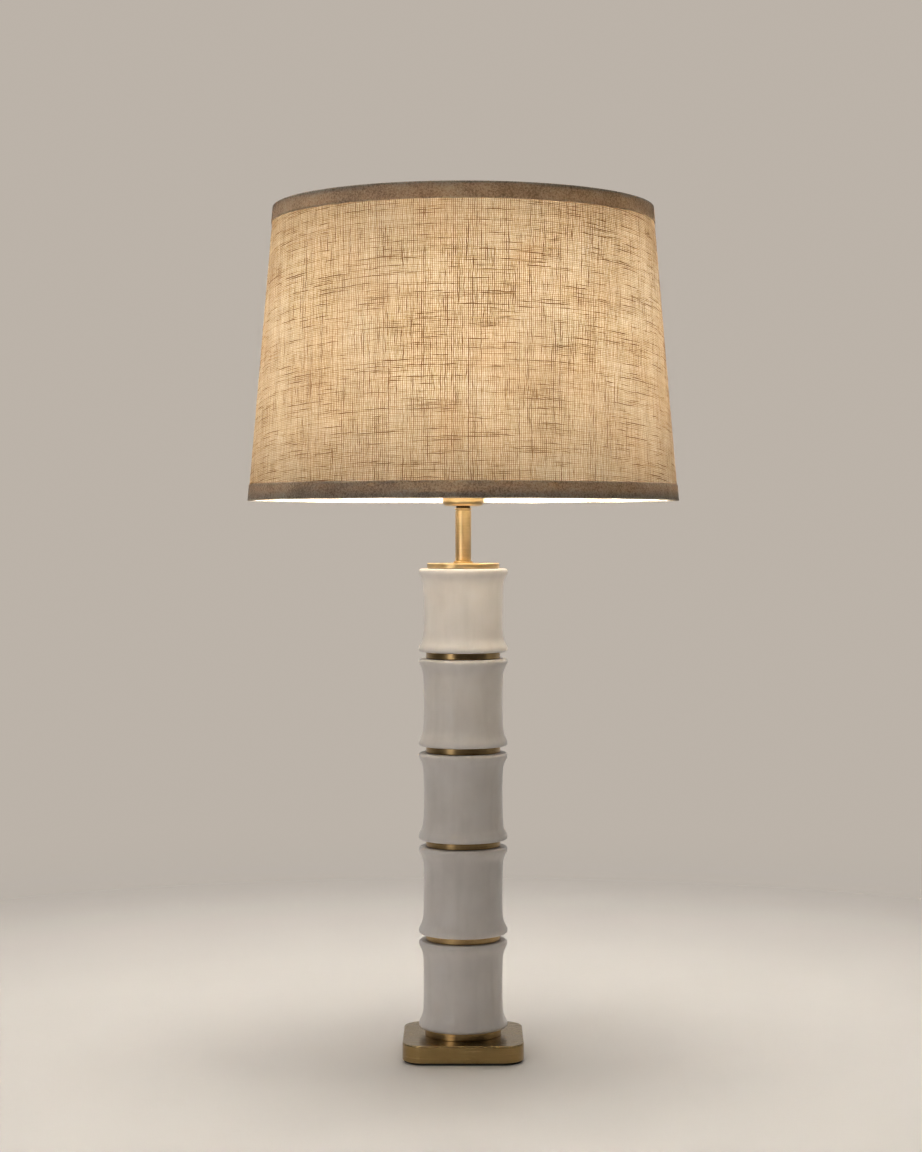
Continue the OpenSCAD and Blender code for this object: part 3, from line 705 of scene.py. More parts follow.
def square_ring(half, corner, z):
    """Points of a square with round corners, anticlockwise from the middle of its right side."""
    points = []
    for quarter in range(4):
        a0 = quarter * math.pi / 2
        cx = (half - corner) * (math.cos(a0) - math.sin(a0))
        cy = (half - corner) * (math.sin(a0) + math.cos(a0))
        for k in range(CORNER_STEPS + 1):
            a = a0 + math.pi / 2 * k / CORNER_STEPS
            points.append((cx + corner * math.cos(a), cy + corner * math.sin(a), z))
    return points


def base_plate():
    """A shell with rounded edges. Its sides and its top are brushed in different directions."""
    low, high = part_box("base_plate")
    half = high[0]
    edge = 1.3 * MM
    foot = 0.5 * MM
    wall = 2 * MM
    top = 2.5 * MM
    inner = half - wall
    rings = [square_ring(inner, CORNER_R - wall, high[2] - top)]
    rings.append(square_ring(inner, CORNER_R - wall, low[2] + foot))
    rings.append(square_ring(inner + foot, CORNER_R - wall + foot, low[2]))
    for k in range(4):
        a = math.pi / 2 * k / 3
        inset = foot * (1 - math.sin(a))
        rings.append(square_ring(half - inset, CORNER_R - inset, low[2] + foot * (1 - math.cos(a))))
    for k in range(6):
        a = math.pi / 2 * k / 5
        inset = edge * (1 - math.cos(a))
        rings.append(square_ring(half - inset, CORNER_R - inset, high[2] - edge + edge * math.sin(a)))
    shell = drill(loft("base_plate_brass", rings, BASE_SIDE), 4.2 * MM, half, low[2] + CORD_Z, 16 * MM)
    shell.data.materials.append(BASE_TOP)
    for face in shell.data.polygons:
        if face.normal.z > 0.7:
            face.material_index = 1
    weight_normals(shell)
    return place(shell, LAMP, "antique_brass", "base_plate")


def base_pad():
    low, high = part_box("base_pad")
    rings = []
    for inset, z in ((1.0, 0.0), (0.3, 0.15), (0.0, 0.5), (0.0, 1.6), (0.2, 1.95), (0.8, 2.1)):
        corner = CORNER_R - 1.5 * MM - inset * MM
        rings.append(square_ring(high[0] - inset * MM, corner, low[2] + z * MM))
    return place(loft("base_pad_rubber", rings, MATERIALS["rubber_pad"]), LAMP, "rubber_pad", "base_pad")


def gland():
    """A bush with a flange outside the wall, for the cord."""
    low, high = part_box("cord_gland")
    centre_z = (low[2] + high[2]) / 2
    bore = 3.3 * MM
    neck = 4.2 * MM
    flange = 6.0 * MM
    y0 = low[1]
    y1 = high[1]
    wall_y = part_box("base_plate")[1][1]
    outline = fillet([(bore, y0), (neck, y0), (neck, wall_y), (flange, wall_y), (flange, y1), (bore, y1)],
                     [0.4 * MM, 0.3 * MM, 0.05 * MM, 0.2 * MM, 0.6 * MM, 0.8 * MM])
    bush = lathe("cord_gland_bush", outline, MATERIALS["brown_plastic"], 64)
    turn = Euler((-math.pi / 2, 0, 0)).to_matrix().to_4x4()
    bush.data.transform(turn)
    bush.data.transform(Matrix.Translation((0, 0, centre_z)))
    return place(weight_normals(bush), LAMP, "brown_plastic", "cord_gland")


base_plate()
base_pad()
gland()

# ---------------------------------------------------------------- column


def wobble(obj, amount, scale, seed):
    """Small hand-made unevenness, outward from the axis."""
    for vertex in obj.data.vertices:
        p = vertex.co
        shift = noise.noise(Vector((p.x * scale + seed, p.y * scale, p.z * scale * 0.6))) * amount
        r = math.hypot(p.x, p.y)
        if r > 1e-6:
            vertex.co = Vector((p.x * (1 + shift / r), p.y * (1 + shift / r), p.z))


# Painted light: the top segment's glaze is lighter and the lower ones darker, to paint the lamp's light that
# falls most on the top segment.
PAINTED_LAMPLIGHT_TONES = (1.08, 1.0, 0.92, 0.92, 0.92)      # from the top segment down


def ceramic_segment(number):
    """A hollow segment with rounded lips, a waist between them and a thick wall."""
    node = f"ceramic_{number}"
    low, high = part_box(node)
    z0 = low[2]
    h = high[2] - z0
    mouth = 26 * MM
    wall = 6 * MM
    outer = []
    for k in range(9):
        a = -math.pi / 2 + math.pi / 2 * k / 8
        outer.append((LIP_R - LIP_ROUND + LIP_ROUND * math.cos(a), LIP_ROUND + LIP_ROUND * math.sin(a)))
    steps = 26
    for k in range(1, steps + 1):
        d = (h / 2 - LIP_ROUND) * (k / steps) ** 1.5
        outer.append((WAIST_R + (LIP_R - WAIST_R) / (1 + (d / FLARE_W) ** 2.3), LIP_ROUND + d))
    outer += [(r, h - z) for r, z in reversed(outer[:-1])]
    cavity = WAIST_R - wall
    inner = [(mouth, h), (mouth, h - wall), (cavity, h - wall - 3 * MM), (cavity, wall + 3 * MM),
             (mouth, wall), (mouth, 0)]
    outline = [(r, z0 + z) for r, z in outer + inner]
    obj = lathe(f"ceramic_segment_{number}", outline, MATERIALS["glazed_ceramic"], 144)
    wobble(obj, 0.16 * MM, 38.0, number * 9.1)
    # the tone paints how much lamp light falls on this segment
    glaze = ceramic_material(f"glazed_ceramic_{number}", number * 1.37, PAINTED_LAMPLIGHT_TONES[number - 1])
    obj.data.materials[0] = glaze
    return place(obj, LAMP, "glazed_ceramic", node)


def brass_spacer(name, node, r_out, z0, z1):
    """A turned brass ring with rounded edges."""
    turned(name, node, sleeve_outline(SPACER_BORE, r_out, z0, z1, 0.45 * MM, 4), "antique_brass", 144)


SPACER_R = 35.15 * MM
SPACER_BORE = 23 * MM
SPIGOT_H = 2 * MM

for n in range(1, 6):
    ceramic_segment(n)
for n in range(1, 5):
    node = f"spacer_ring_{n}"
    low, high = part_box(node)
    brass_spacer(f"spacer_ring_brass_{n}", node, SPACER_R, low[2] + SPIGOT_H, high[2] - SPIGOT_H)

low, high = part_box("base_ring")
brass_spacer("base_ring_brass", "base_ring", high[0], low[2], high[2] - SPIGOT_H)

# ---------------------------------------------------------------- neck

# Painted shadow: this near-black brass on the check washer stands in for the shadow gap under the socket cup.
PAINTED_SHADOW_BRONZE = brushed_metal("antique_brass_painted_shadow", (0.035, 0.022, 0.010), (0.09, 0.058, 0.027), 0.4)
ROD_BORE = 5.2 * MM

# name, node, how far its hidden spigot reaches under it, its corners in mm, steps of a corner, facets
NECK_RINGS = (
    ("top_disc_brass", "top_disc", SPIGOT_H, (0.2, 0.7, 0.9, 0.2), 5, 144),
    ("neck_foot_bead", "neck_foot", 0.0, (0.1, 0.45, 0.45, 0.1), 6, 96),
    ("neck_collar_ring", "neck_collar", 0.0, (0.1, 0.6, 0.6, 0.1), 6, 96),
)


def neck():
    for name, node, spigot, corners, steps, facets in NECK_RINGS:
        low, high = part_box(node)
        corners = [corner * MM for corner in corners]
        outline = sleeve_outline(ROD_BORE, high[0], low[2] + spigot, high[2], corners, steps)
        turned(name, node, outline, "satin_brass", facets)

    low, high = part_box("neck_tube")
    r = high[0]
    groove = 0.7 * MM
    wall = 1.2 * MM
    tube = [(r - wall, low[2]), (r - groove, low[2]), (r - groove, low[2] + 0.4 * MM), (r, low[2] + 0.7 * MM),
            (r, high[2] - 1.0 * MM), (r - groove, high[2] - 0.7 * MM), (r - groove, high[2]),
            (r - wall, high[2])]
    corners = [corner * MM for corner in (0.1, 0.1, 0.1, 0.2, 0.2, 0.1, 0.1, 0.1)]
    turned("neck_tube_brass", "neck_tube", fillet(tube, corners, 3), "satin_brass")

    low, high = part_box("check_washer")
    r = high[0] - 0.9 * MM
    # the washer's near-black brass is painted shadow for the gap under the cup
    washer = ring_solid("check_washer_ring", ROD_BORE, r, low[2], high[2], PAINTED_SHADOW_BRONZE, 0.2 * MM)
    place(washer, LAMP, "antique_brass", "check_washer")

    low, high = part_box("socket_cup")
    r = high[0]
    z0 = low[2]
    z1 = high[2]
    t = 1.2 * MM
    bore = 5.1 * MM
    bend = 5.5 * MM
    cup = [(bore, z0), (r, z0), (r, z1 - 0.9 * MM), (r, z1), (r - t, z1), (r - t, z0 + t), (bore, z0 + t)]
    corners = [0.1 * MM, bend, 0.1 * MM, 0.5 * MM, 0.5 * MM, bend - t, 0.1 * MM]
    turned("socket_cup_brass", "socket_cup", fillet(cup, corners, 10), "satin_brass", 128)


neck()

# ---------------------------------------------------------------- shade

SIN_A = math.sin(CONE_A)
LINEN_Z0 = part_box("shade_linen")[0][2]
LINEN_Z1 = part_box("shade_linen")[1][2]
LINEN_DEPTH = TRIM_T + 0.1 * MM          # depth of the linen under the trims' outer face
SEAM_W = 12 * MM
SEAM_LIFT = 0.55 * MM
SLUBS = 520
TUCK_W = 8.0 * MM            # width of the trim inside the rim


def on_cone(turn, z, inset):
    """A point of the shade's skin: turn is the angle from the front, inset the depth under the outer face."""
    r = cone_r(z, inset)
    return Vector((r * math.sin(turn), -r * math.cos(turn), z))


def flat_uv(turn, z):
    """Where that point lies on the flat cut cloth, in metres."""
    rho = (APEX_Z - z) / math.cos(CONE_A)
    return (rho * math.sin(turn * SIN_A), -rho * math.cos(turn * SIN_A))


def from_flat(x, y, inset):
    """The point of the shade's skin that lies at (x, y) on the flat cloth."""
    rho = math.hypot(x, y)
    return on_cone(math.atan2(x, -y) / SIN_A, APEX_Z - rho * math.cos(CONE_A), inset)


def skin(name, inset, material, columns, rows, seam=0.0, ripple=0.0):
    """The shade's cone as one sheet, with an overlap at the back where its ends are glued."""
    end = math.pi + seam / SHADE_BOTTOM_R
    verts = []
    uvs = []
    for j in range(rows + 1):
        z = LINEN_Z0 + (LINEN_Z1 - LINEN_Z0) * j / rows
        for i in range(columns + 1):
            turn = -math.pi + (end + math.pi) * i / columns
            lift = 0.0
            if seam:
                lift = SEAM_LIFT * min(1.0, max(0.0, (turn - math.pi + 0.03) / 0.03))
            p = on_cone(turn, z, 0)
            wave = noise.noise(Vector((p.x * 9, p.y * 9, z * 5))) * ripple
            wave += noise.noise(Vector((p.x * 160, p.y * 160, z * 160))) * ripple * 0.35
            verts.append(on_cone(turn, z, inset - lift - wave))
            uvs.append(flat_uv(turn, z))
    return make_object(name, verts, quads(rows + 1, columns + 1, columns_meet=False), material, uvs)


def shade_cloth():
    linen = skin("linen_cover", LINEN_DEPTH, MATERIALS["linen"], 640, 150, SEAM_W, 0.22 * MM)
    place(linen, "shade", "linen", "shade_linen")
    slub_threads()
    liner = skin("shade_liner_sheet", TRIM_T + LINEN_T + 0.15 * MM, MATERIALS["white_liner"], 160, 12)
    place(liner, "shade", "white_liner", "shade_liner")


def slub_threads():
    """Thick places in single threads, standing a little proud of the cloth, along its warp and weft."""
    verts = []
    uvs = []
    faces = []
    sections = 8
    across = 5
    for number in range(SLUBS):
        weft = number % 3 > 0
        length = random.uniform(4, 22) * MM * random.uniform(1, 3.4)
        width = random.uniform(0.22, 0.40) * random.uniform(1, 1.7) * MM
        height = random.uniform(0.10, 0.26) * MM
        turn = random.uniform(-math.pi, math.pi)
        z = random.uniform(LINEN_Z0 + 0.02, LINEN_Z1 - 0.02)
        x0, y0 = flat_uv(turn, z)
        sway = random.uniform(-0.6, 0.6) * MM
        base = len(verts)
        for s in range(sections + 1):
            t = s / sections
            swell = math.sin(math.pi * t) ** 0.7 + 0.02
            bow = sway * math.sin(math.pi * t)
            step = (t - 0.5) * length
            cx, cy = (x0 + step, y0 + bow) if weft else (x0 + bow, y0 + step)
            for k in range(across):
                a = math.pi * k / (across - 1)
                side = math.cos(a) * width / 2 * swell
                x, y = (cx, cy + side) if weft else (cx + side, cy)
                verts.append(from_flat(x, y, LINEN_DEPTH - math.sin(a) * height * swell))
                uvs.append((x, y))
        for face in quads(sections + 1, across, columns_meet=False):
            faces.append(tuple(base + i for i in face))
    return place(make_object("linen_slubs", verts, faces, SLUB, uvs), "shade", "linen")


def slub_material():
    """The linen's thread where it is thick: darker, with brown and tan lengths."""
    g = Graph("linen_slub")
    at = g.coords("UV")
    fibre = g.weigh(g.noise(g.stretch(at, (900, 900, 1)), 1.0, 3.0, 0.6), 0.4, g.noise(at, 70.0, 2.0), 0.6)
    through = g.ramp(fibre, [(0.36, (0.24, 0.105, 0.03)), (0.64, (0.72, 0.46, 0.21))])
    surface = g.ramp(fibre, [(0.3, (0.26, 0.155, 0.075)), (0.7, (0.50, 0.36, 0.20))])
    reflect = g.add("ShaderNodeBsdfDiffuse", {"Color": surface, "Roughness": 0.9})
    transmit = g.add("ShaderNodeBsdfTranslucent", {"Color": through})
    return g.blend(SLUB_PASSES, reflect, transmit)


SLUB = slub_material()
shade_cloth()


def folded_tape(name, node, rim_z, up, ring_z, notches=()):
    """Tape folded over a rim: an outer band, the fold, and an inner band that is cut away at the notches."""
    t = TRIM_T - 0.05 * MM
    half_t = 0.5 * MM
    columns = 720
    tuck_r = cone_r(ring_z, TRIM_T + LINEN_T + LINER_T + 2 * WIRE_R + 1.0 * MM)
    verts = []
    uvs = []
    # the tape's middle line from its outer edge over the fold to its inner edge: a zone and a place in it
    line = []
    for k in range(9):
        line.append(("out", TRIM_W * (1 - k / 8)))
    for k in range(1, 8):
        line.append(("fold", k / 8))
    for k in range(5):
        line.append(("in", k / 4))
    for i in range(columns):
        turn = TAU * i / columns
        edge_wave = noise.noise(Vector((math.sin(turn) * 9, math.cos(turn) * 9, rim_z * 7))) * 0.28 * MM
        edge_wave += noise.noise(Vector((math.sin(turn) * 40, math.cos(turn) * 40, rim_z * 7))) * 0.12 * MM
        gap = min([abs(math.remainder(turn - n, TAU)) for n in notches], default=TAU) * SHADE_TOP_R
        reach = TUCK_W * min(1.0, max(0.0, (gap - 3.2 * MM) / (3 * MM)))
        centre = []
        for kind, d in line:
            if kind == "out":
                down = d + (edge_wave if d > TRIM_W * 0.9 else 0)
                z = rim_z - up * (down + half_t)
                r = cone_r(z, t / 2)
            elif kind == "fold":
                z = rim_z - up * half_t + up * math.sin(math.pi * d) * (half_t - t / 2)
                r_out = cone_r(rim_z, t / 2)
                r = r_out + (tuck_r - r_out) * (1 - math.cos(math.pi * d)) / 2
            else:
                z = rim_z - up * (d * reach + half_t)
                r = tuck_r
            centre.append(Vector((r, z)))
        outside = [(1, k) for k in range(len(centre))]
        inside = [(-1, k) for k in reversed(range(len(centre)))]
        for side, k in outside + inside:
            ahead = centre[min(k + 1, len(centre) - 1)] - centre[max(k - 1, 0)]
            normal = Vector((ahead.y, -ahead.x)).normalized()
            p = centre[k] + normal * (side * t / 2 * up)
            lump = noise.noise(Vector((math.sin(turn) * 60, math.cos(turn) * 60, p.y * 400))) * 0.06 * MM
            r = p.x - abs(lump)
            verts.append((r * math.sin(turn), -r * math.cos(turn), p.y))
            uvs.append((turn * SHADE_BOTTOM_R, k * MM))
    faces = quads(columns, 2 * len(line), rows_meet=True)
    tape = outward(make_object(name, verts, faces, MATERIALS["trim_tape"], uvs))
    place(tape, "shade", "trim_tape", node)


RING_TOP_Z = (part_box("top_ring")[0][2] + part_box("top_ring")[1][2]) / 2
RING_BOTTOM_Z = (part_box("bottom_ring")[0][2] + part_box("bottom_ring")[1][2]) / 2
ARM_TURNS = [math.radians(90 + 120 * i) + math.pi / 2 for i in range(3)]
folded_tape("top_trim_tape", "top_trim", SHADE_Z1, 1, RING_TOP_Z, ARM_TURNS)
folded_tape("bottom_trim_tape", "bottom_trim", SHADE_Z0, -1, RING_BOTTOM_Z)

# ---------------------------------------------------------------- harp

HARP_R = 2.25 * MM
HARP_FOOT_X = 27 * MM
HARP_HALF_W = 57 * MM
HARP_SHOULDER_R = 46 * MM
HARP_BEND = math.radians(60)
HARP_LEG = 16 * MM
STUD_R = 3.175 * MM
STUD_PITCH = 0.94 * MM


def arc(centre, r, a0, a1, steps):
    """Points (x, z) along an arc."""
    out = []
    for k in range(steps + 1):
        a = a0 + (a1 - a0) * k / steps
        out.append((centre[0] + r * math.cos(a), centre[1] + r * math.sin(a)))
    return out


def harp_wire():
    low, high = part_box("harp_wire")
    foot_z = low[2]
    top_z = high[2] - HARP_R
    leg_z = foot_z + HARP_LEG
    r = HARP_HALF_W - HARP_FOOT_X
    side_z = leg_z + 2 * r * math.sin(HARP_BEND)
    half = [(HARP_FOOT_X, foot_z)]
    half += arc((HARP_HALF_W, leg_z), r, math.pi, math.pi - HARP_BEND, 14)
    half += arc((HARP_FOOT_X, side_z), r, -HARP_BEND, 0, 14)[1:]
    half += arc((HARP_HALF_W - HARP_SHOULDER_R, top_z - HARP_SHOULDER_R), HARP_SHOULDER_R, 0, math.pi / 2, 24)
    path = [(x, 0, z) for x, z in half] + [(-x, 0, z) for x, z in reversed(half)]
    wire = sweep("harp_wire_bow", path, HARP_R, MATERIALS["satin_brass"], 24)
    place(wire, LAMP, "satin_brass", "harp_wire")


def harp_saddle():
    """A pressed strip with turned posts riveted through its ends."""
    satin = MATERIALS["satin_brass"]
    low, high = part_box("harp_saddle")
    strip_t = 1.6 * MM
    half_w = high[1]
    outline = []
    for side in (1, -1):
        for k in range(13):
            a = -math.pi / 2 + math.pi * k / 12
            x = high[0] - half_w + half_w * math.cos(a)
            outline.append((side * x, side * half_w * math.sin(a)))
    rings = []
    for inset, z in ((0.4, 0.0), (0.0, 0.4), (0.0, 1.2), (0.4, 1.6)):
        rings.append([(x - math.copysign(inset * MM, x), y * (1 - inset * MM / half_w), low[2] + z * MM)
                      for x, y in outline])
    parts = [loft("strip", rings, satin)]
    for side in (1, -1):
        z0 = low[2] + strip_t * 0.9
        post = [(0, z0), (3.1 * MM, z0), (3.1 * MM, z0 + 0.8 * MM), (HARP_R, z0 + 1.3 * MM),
                (HARP_R, high[2]), (0, high[2])]
        parts.append(lathe("post", fillet(post, 0.2 * MM, 3), satin, 40, axis_x=side * HARP_FOOT_X))
    place(join("harp_saddle_strip", parts), LAMP, "satin_brass", "harp_saddle")


def harp_ferrule(side, name):
    """A sliding sleeve with a rolled lower rim and a coned top, which locks the bow to the saddle."""
    low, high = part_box(name)
    r = (high[0] - low[0]) / 2
    rim = 0.55 * MM
    bore = HARP_R + 0.15 * MM
    z0 = low[2]
    z1 = high[2]
    outline = [(bore, z0), (r, z0), (r, z0 + 1.1 * MM), (r - rim, z0 + 1.5 * MM), (r - rim, z1 - 3 * MM),
               (bore + rim, z1), (bore, z1)]
    turned(name + "_sleeve", name, fillet(outline, 0.45 * MM, 4), "satin_brass", 48, name, side * HARP_FOOT_X)


def harp_stud():
    """The round seat that the shade rests on, and the threaded stud above it."""
    satin = MATERIALS["satin_brass"]
    low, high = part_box("harp_stud")
    seat_z = low[2] + 3 * MM
    seat = [(0, low[2]), (high[0], low[2]), (high[0], seat_z), (STUD_R + 0.6 * MM, seat_z), (0, seat_z)]
    parts = [lathe("seat", fillet(seat, [0, 0.9 * MM, 0.5 * MM, 0.2 * MM, 0], 4), satin, 64)]
    parts.append(screw("stud", STUD_R, 0.5 * MM, seat_z - 0.5 * MM, high[2], STUD_PITCH, satin, steps=48))
    place(join("harp_stud_screw", parts), LAMP, "satin_brass", "harp_stud")


harp_wire()
harp_saddle()
harp_ferrule(-1, "ferrule_left")
harp_ferrule(1, "ferrule_right")
harp_stud()

# ---------------------------------------------------------------- socket and switch

SWITCH_Z = (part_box("switch_shaft")[0][2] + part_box("switch_shaft")[1][2]) / 2


def socket_cap():
    """A spun dome on a hub, with a rolled rim."""
    low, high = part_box("socket_cap")
    bore = 4.95 * MM
    hub = 6.55 * MM
    wall = 0.8 * MM
    rim = high[0] - 0.25 * MM
    z0 = low[2]
    z1 = high[2]
    hub_z = z0 + 4 * MM
    dome = rim - hub
    outline = [(bore, z0), (hub, z0), (hub, hub_z)]
    outline += arc((hub, hub_z + dome), dome, -math.pi / 2, 0, 12)[1:]
    bead_z = z1 - 2.2 * MM
    outline += [(rim, bead_z - 0.9 * MM)] + arc((rim - 0.65 * MM, bead_z), 0.9 * MM, -0.77, 0.77, 6)
    outline += [(rim, bead_z + 0.9 * MM), (rim, z1), (rim - wall, z1)]
    outline += arc((hub, hub_z + dome), dome - wall, 0, -math.pi / 2, 12)
    outline += [(bore, hub_z + wall)]
    turned("socket_cap_dome", "socket_cap", outline, "satin_brass")


def socket_shell():
    """A thin shell with three rolled grooves and a hole for the switch."""
    low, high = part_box("socket_shell")
    r = high[0]
    z0 = low[2]
    z1 = high[2]
    wall = 0.6 * MM
    groove = 0.32 * MM
    outline = [(r - wall, z0), (r, z0)]
    for z in (z0 + 24 * MM, z0 + 29 * MM, z1 - 3 * MM):
        for k in range(9):
            t = k / 8
            outline.append((r - groove * math.sin(math.pi * t), z - 0.9 * MM + 1.8 * MM * t))
    outline += [(r, z1 - 0.4 * MM), (r - wall / 2, z1), (r - wall, z1 - 0.4 * MM)]
    shell = lathe("socket_shell_tube", outline, MATERIALS["satin_brass"], 96)
    drill(shell, 3.2 * MM, -r, SWITCH_Z, 8 * MM)
    place(weight_normals(shell), LAMP, "satin_brass", "socket_shell")


def toward_front(obj):
    """Lays a piece that was turned about Z down along -Y, at the switch's height."""
    turn = Euler((math.pi / 2, 0, 0)).to_matrix().to_4x4()
    obj.data.transform(Matrix.Translation((0, 0, SWITCH_Z)) @ turn)
    return obj


def switch():
    """The switch's threaded shaft and its knob: a tapered stem with a waisted wing, ribbed at both ends."""
    steel = MATERIALS["plated_steel"]
    low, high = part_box("switch_shaft")
    shaft = screw("switch_shaft_screw", high[0], 0.25 * MM, -high[1], -low[1], 0.7 * MM, steel, steps=40)
    place(toward_front(shaft), "switch", "plated_steel", "switch_shaft")

    plastic = MATERIALS["black_plastic"]
    low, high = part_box("switch_knob")
    y0 = -high[1]
    y1 = -low[1]
    wing_y = y0 + 2.5 * MM
    stem_r = 4.2 * MM
    wing_w = high[0]
    wing_t = 1.3 * MM
    stem = [(0, y0), (stem_r, y0), (stem_r, wing_y), (stem_r * 0.8, y0 + 6 * MM),
            (stem_r * 0.62, y1 - 2 * MM), (0, y1 - 2 * MM)]
    stem = fillet(stem, [0, 0.5 * MM, 0.5 * MM, 0.8 * MM, 0.8 * MM, 0], 4)
    parts = [toward_front(lathe("stem", stem, plastic, 48))]
    rings = []
    for k in range(9):
        t = k / 8
        waist = 1 - 0.30 * (1 - t) ** 2
        end = math.sqrt(max(0.0, 1 - max(0.0, (t - 0.75) / 0.25) ** 2)) * 0.35 + 0.65
        thick = wing_t * (1.0 - 0.25 * t) * end
        ring = []
        for m in range(32):
            a = TAU * m / 32
            x = wing_w * waist * end * math.copysign(abs(math.cos(a)) ** 0.6, math.cos(a))
            z = thick * math.copysign(abs(math.sin(a)) ** 0.6, math.sin(a))
            ring.append((x, -(wing_y + (y1 - wing_y) * t), SWITCH_Z + z))
        rings.append(ring)
    parts.append(loft("wing", rings, plastic))
    for side in (1, -1):
        for k in range(5):
            at = (side * wing_w * (0.50 + 0.085 * k), -(y1 - 4.0 * MM), SWITCH_Z)
            parts.append(bevelled_box("rib", (0.5 * MM, 5.5 * MM, 2.3 * MM), at, plastic, 0.2 * MM, 2))
    place(join("switch_knob_wing", parts), "switch", "black_plastic", "switch_knob")


socket_cap()
socket_shell()
switch()

# ---------------------------------------------------------------- bulb


def bulb():
    """The bulb's foot contact, its insulator, its screw cap, a flared housing and an opal dome."""
    low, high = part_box("bulb_tip")
    tip = [(0, low[2]), (2.4 * MM, low[2] + 0.1 * MM), (3.6 * MM, low[2] + 0.7 * MM), (high[0], high[2]),
           (0, high[2])]
    tip = fillet(tip, [0, 0.6 * MM, 0.6 * MM, 0, 0], 4)
    turned("bulb_tip_solder", "bulb_tip", tip, "cap_metal", 40, "bulb_foot", weighted=False)

    low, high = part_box("bulb_insulator")
    cone = [(0, low[2]), (5 * MM, low[2]), (high[0], high[2]), (0, high[2])]
    cone = fillet(cone, [0, 0.5 * MM, 0.1 * MM, 0], 4)
    turned("bulb_insulator_glass", "bulb_insulator", cone, "black_plastic", 64, "bulb", weighted=False)

    low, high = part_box("bulb_cap")
    metal = MATERIALS["cap_metal"]
    cap = screw("bulb_cap_thread", high[0], 0.85 * MM, low[2], high[2], 3.6 * MM, metal, True, 96, 16)
    place(cap, "bulb", "cap_metal", "bulb_cap")

    low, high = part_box("bulb_housing")
    r = high[0]
    foot = 14.1 * MM
    h = high[2] - low[2]
    blend = 0.55
    rim = 3 * MM
    pocket = 5 * MM
    outline = [(0, low[2]), (foot - 0.6 * MM, low[2])]
    for k in range(41):
        a = math.pi / 2 * k / 40
        wave = (1 - blend) * (1 - math.cos(a)) + blend * math.sin(a)
        outline.append((foot + (r - foot) * wave, low[2] + h * k / 40))
    outline += [(r - rim, high[2]), (r - rim, high[2] - pocket), (0, high[2] - pocket)]
    turned("bulb_housing_shell", "bulb_housing", outline, "white_plastic", body="bulb")

    low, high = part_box("bulb_diffuser")
    wall = 1.5 * MM
    h = high[2] - low[2]
    quarter = arc((0, 0), 1.0, 0, math.pi / 2, 32)
    outline = [(x * high[0], low[2] + z * h) for x, z in quarter]
    outline += [(x * (high[0] - wall), low[2] + z * (h - wall)) for x, z in reversed(quarter)]
    turned("bulb_diffuser_dome", "bulb_diffuser", outline, "bulb_diffuser", body="bulb", weighted=False)


bulb()

# ---------------------------------------------------------------- shade fitter and finial

HUB_R = 13 * MM


def wire_ring(name, node):
    """A closed wire ring. Returns its radius and height."""
    low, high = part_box(node)
    ring_r = high[0] - WIRE_R
    z = (low[2] + high[2]) / 2
    path = [(ring_r * math.sin(TAU * k / 288), ring_r * math.cos(TAU * k / 288), z) for k in range(288)]
    ring = sweep(name, path, WIRE_R, MATERIALS["plated_steel"], 16, close=True)
    place(ring, "shade", "plated_steel", node)
    return ring_r, z


def weld(t):
    """Radius of a spider's arm: pinched where it enters the hub, thicker where it is welded to the ring."""
    return WIRE_R * (1 - 0.45 * max(0.0, 1 - t / 0.03) + 0.12 * max(0.0, 1 - (1 - t) / 0.015))


def spider():
    """The hub that sits on the stud, and its three arms to the top ring."""
    steel = MATERIALS["plated_steel"]
    ring_r, ring_z = wire_ring("top_ring_wire", "top_ring")
    wire_ring("bottom_ring_wire", "bottom_ring")
    hub_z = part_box("spider_fitter")[0][2]
    hub_t = 1.5 * MM
    parts = [ring_solid("hub", STUD_R + 0.3 * MM, HUB_R, hub_z, hub_z + hub_t, steel, 0.35 * MM)]
    start_r = HUB_R - 4.5 * MM
    end_r = ring_r - WIRE_R * 0.9
    start_z = hub_z + hub_t / 2
    for turn in ARM_TURNS:
        path = []
        for k in range(41):
            t = k / 40
            rise = t + 0.05 * math.sin(TAU * t) * (1 - t)
            r = start_r + (end_r - start_r) * t
            path.append((r * math.sin(turn), -r * math.cos(turn), start_z + (ring_z - start_z) * rise))
        parts.append(sweep("arm", path, weld, steel, 16))
    place(join("spider_fitter_arms", parts), "shade", "plated_steel", "spider_fitter")


def washers():
    satin = MATERIALS["satin_brass"]
    for name, node, body in (("seat_washer_ring", "seat_washer", "shade_seat"),
                             ("finial_washer_ring", "finial_washer", "finial_seat")):
        low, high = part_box(node)
        ring = ring_solid(name, STUD_R + 0.25 * MM, high[0], low[2], high[2], satin, 0.3 * MM, 64)
        place(ring, body, "satin_brass", node)


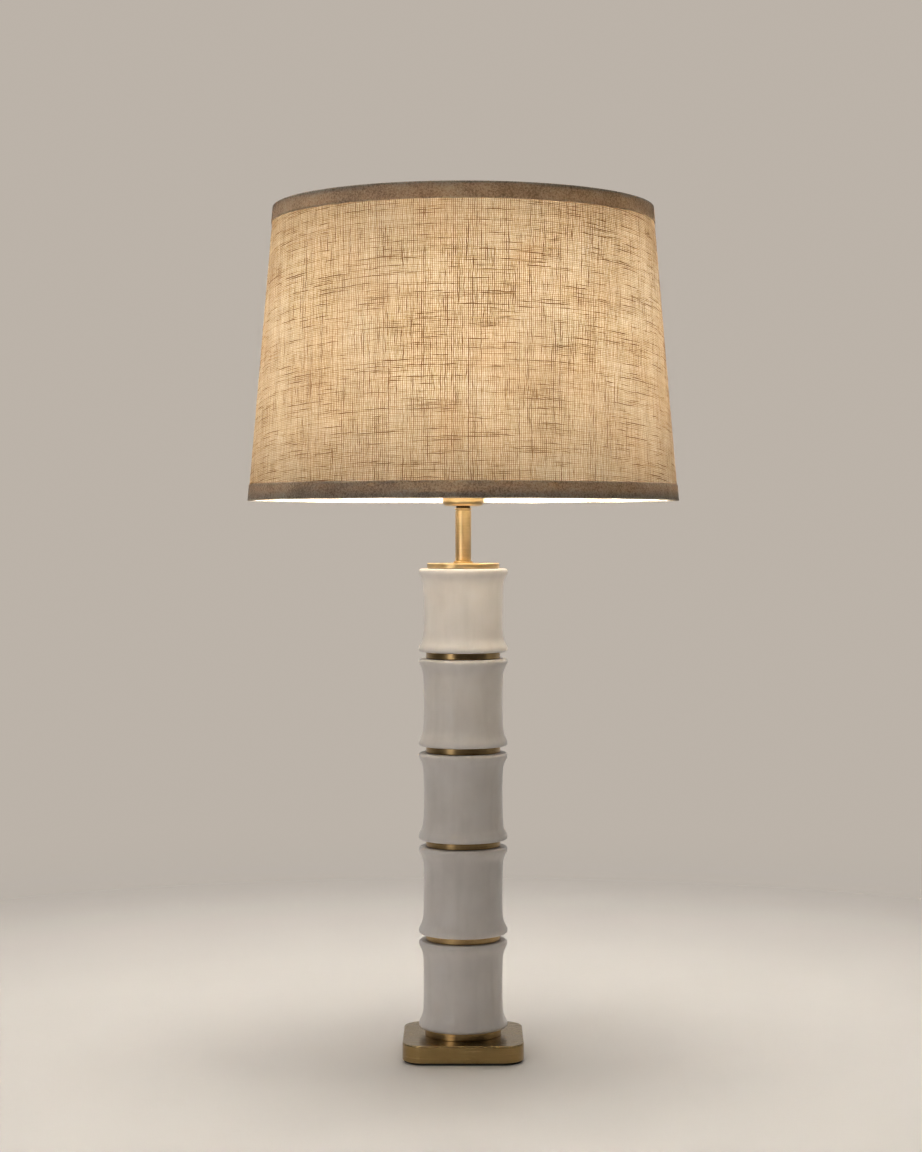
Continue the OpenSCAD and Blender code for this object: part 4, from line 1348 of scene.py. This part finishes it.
def finial():
    """A turned ball on a coved skirt, bored for the stud."""
    low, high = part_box("finial")
    z0 = low[2]
    ball_r = high[0]
    skirt_r = 7 * MM
    skirt_h = 2 * MM
    neck_r = 5 * MM
    bore = STUD_R + 0.1 * MM
    bore_h = 10.5 * MM
    cove = skirt_r - neck_r
    ball_z = high[2] - ball_r
    outline = [(bore, z0)]
    outline += arc((skirt_r - 0.4 * MM, z0 + 0.4 * MM), 0.4 * MM, -math.pi / 2, 0, 4)
    outline += arc((skirt_r - 0.5 * MM, z0 + skirt_h - 0.5 * MM), 0.5 * MM, 0, math.pi / 2, 4)
    outline += arc((skirt_r, z0 + skirt_h + cove), cove, -math.pi / 2 - 0.3, -math.pi, 8)
    outline += [(neck_r, ball_z - ball_r * 0.86), (neck_r + 0.45 * MM, ball_z - ball_r * 0.82)]
    outline += arc((0, ball_z), ball_r, -math.acos(neck_r / ball_r) + 0.1, math.pi / 2, 28)
    outline += [(0, z0 + bore_h + 1.5 * MM), (bore, z0 + bore_h)]
    turned("finial_ball", "finial", outline, "satin_brass", body="finial")


spider()
washers()
finial()

# ---------------------------------------------------------------- floor, light

bpy.ops.mesh.primitive_circle_add(vertices=96, radius=4.0, fill_type="NGON", location=(0, 0, 0))
floor = bpy.context.object
floor.name = "floor"
floor.data.materials.append(floor_material())


def studio():
    """Plain backdrop: brighter behind the lamp than in front, and even where the camera sees it."""
    world = bpy.data.worlds.new("studio")
    g = Graph("studio", world)
    y = g.split(g.coords("Generated"))[1]
    strength = g.level(y, 0.0, 0.9, 0.045, 0.52)
    lit = g.add("ShaderNodeBackground", {"Color": (0.97, 0.93, 0.89, 1), "Strength": strength})
    seen = g.add("ShaderNodeBackground", {"Color": (1.0, 0.897, 0.789, 1), "Strength": 0.50})
    ray = g.add("ShaderNodeLightPath").outputs["Is Camera Ray"]
    g.blend(ray, lit, seen)
    bpy.context.scene.world = world


studio()


def soft_light(name, at, aim, size, power, colour):
    data = bpy.data.lights.new(name, "AREA")
    data.shape = "RECTANGLE"
    data.size = size[0]
    data.size_y = size[1]
    data.energy = power
    data.color = colour
    light = link(name, data)
    light.location = at
    light.rotation_euler = (Vector(aim) - Vector(at)).to_track_quat("-Z", "Y").to_euler()


soft_light("key_left", (-1.5, -1.8, 0.75), (0, 0, 0.3), (0.30, 1.3), 8.5, (1.0, 0.97, 0.94))
soft_light("fill_right", (2.0, -0.1, 0.6), (0, 0, 0.3), (0.5, 1.0), 0.9, (1.0, 0.94, 0.86))
soft_light("overhead", (0, 0.6, 3.0), (0, 0, 0), (3.0, 3.0), 43.0, (1.0, 0.96, 0.91))

view = bpy.context.scene.view_settings
view.view_transform = "Standard"
view.look = "None"
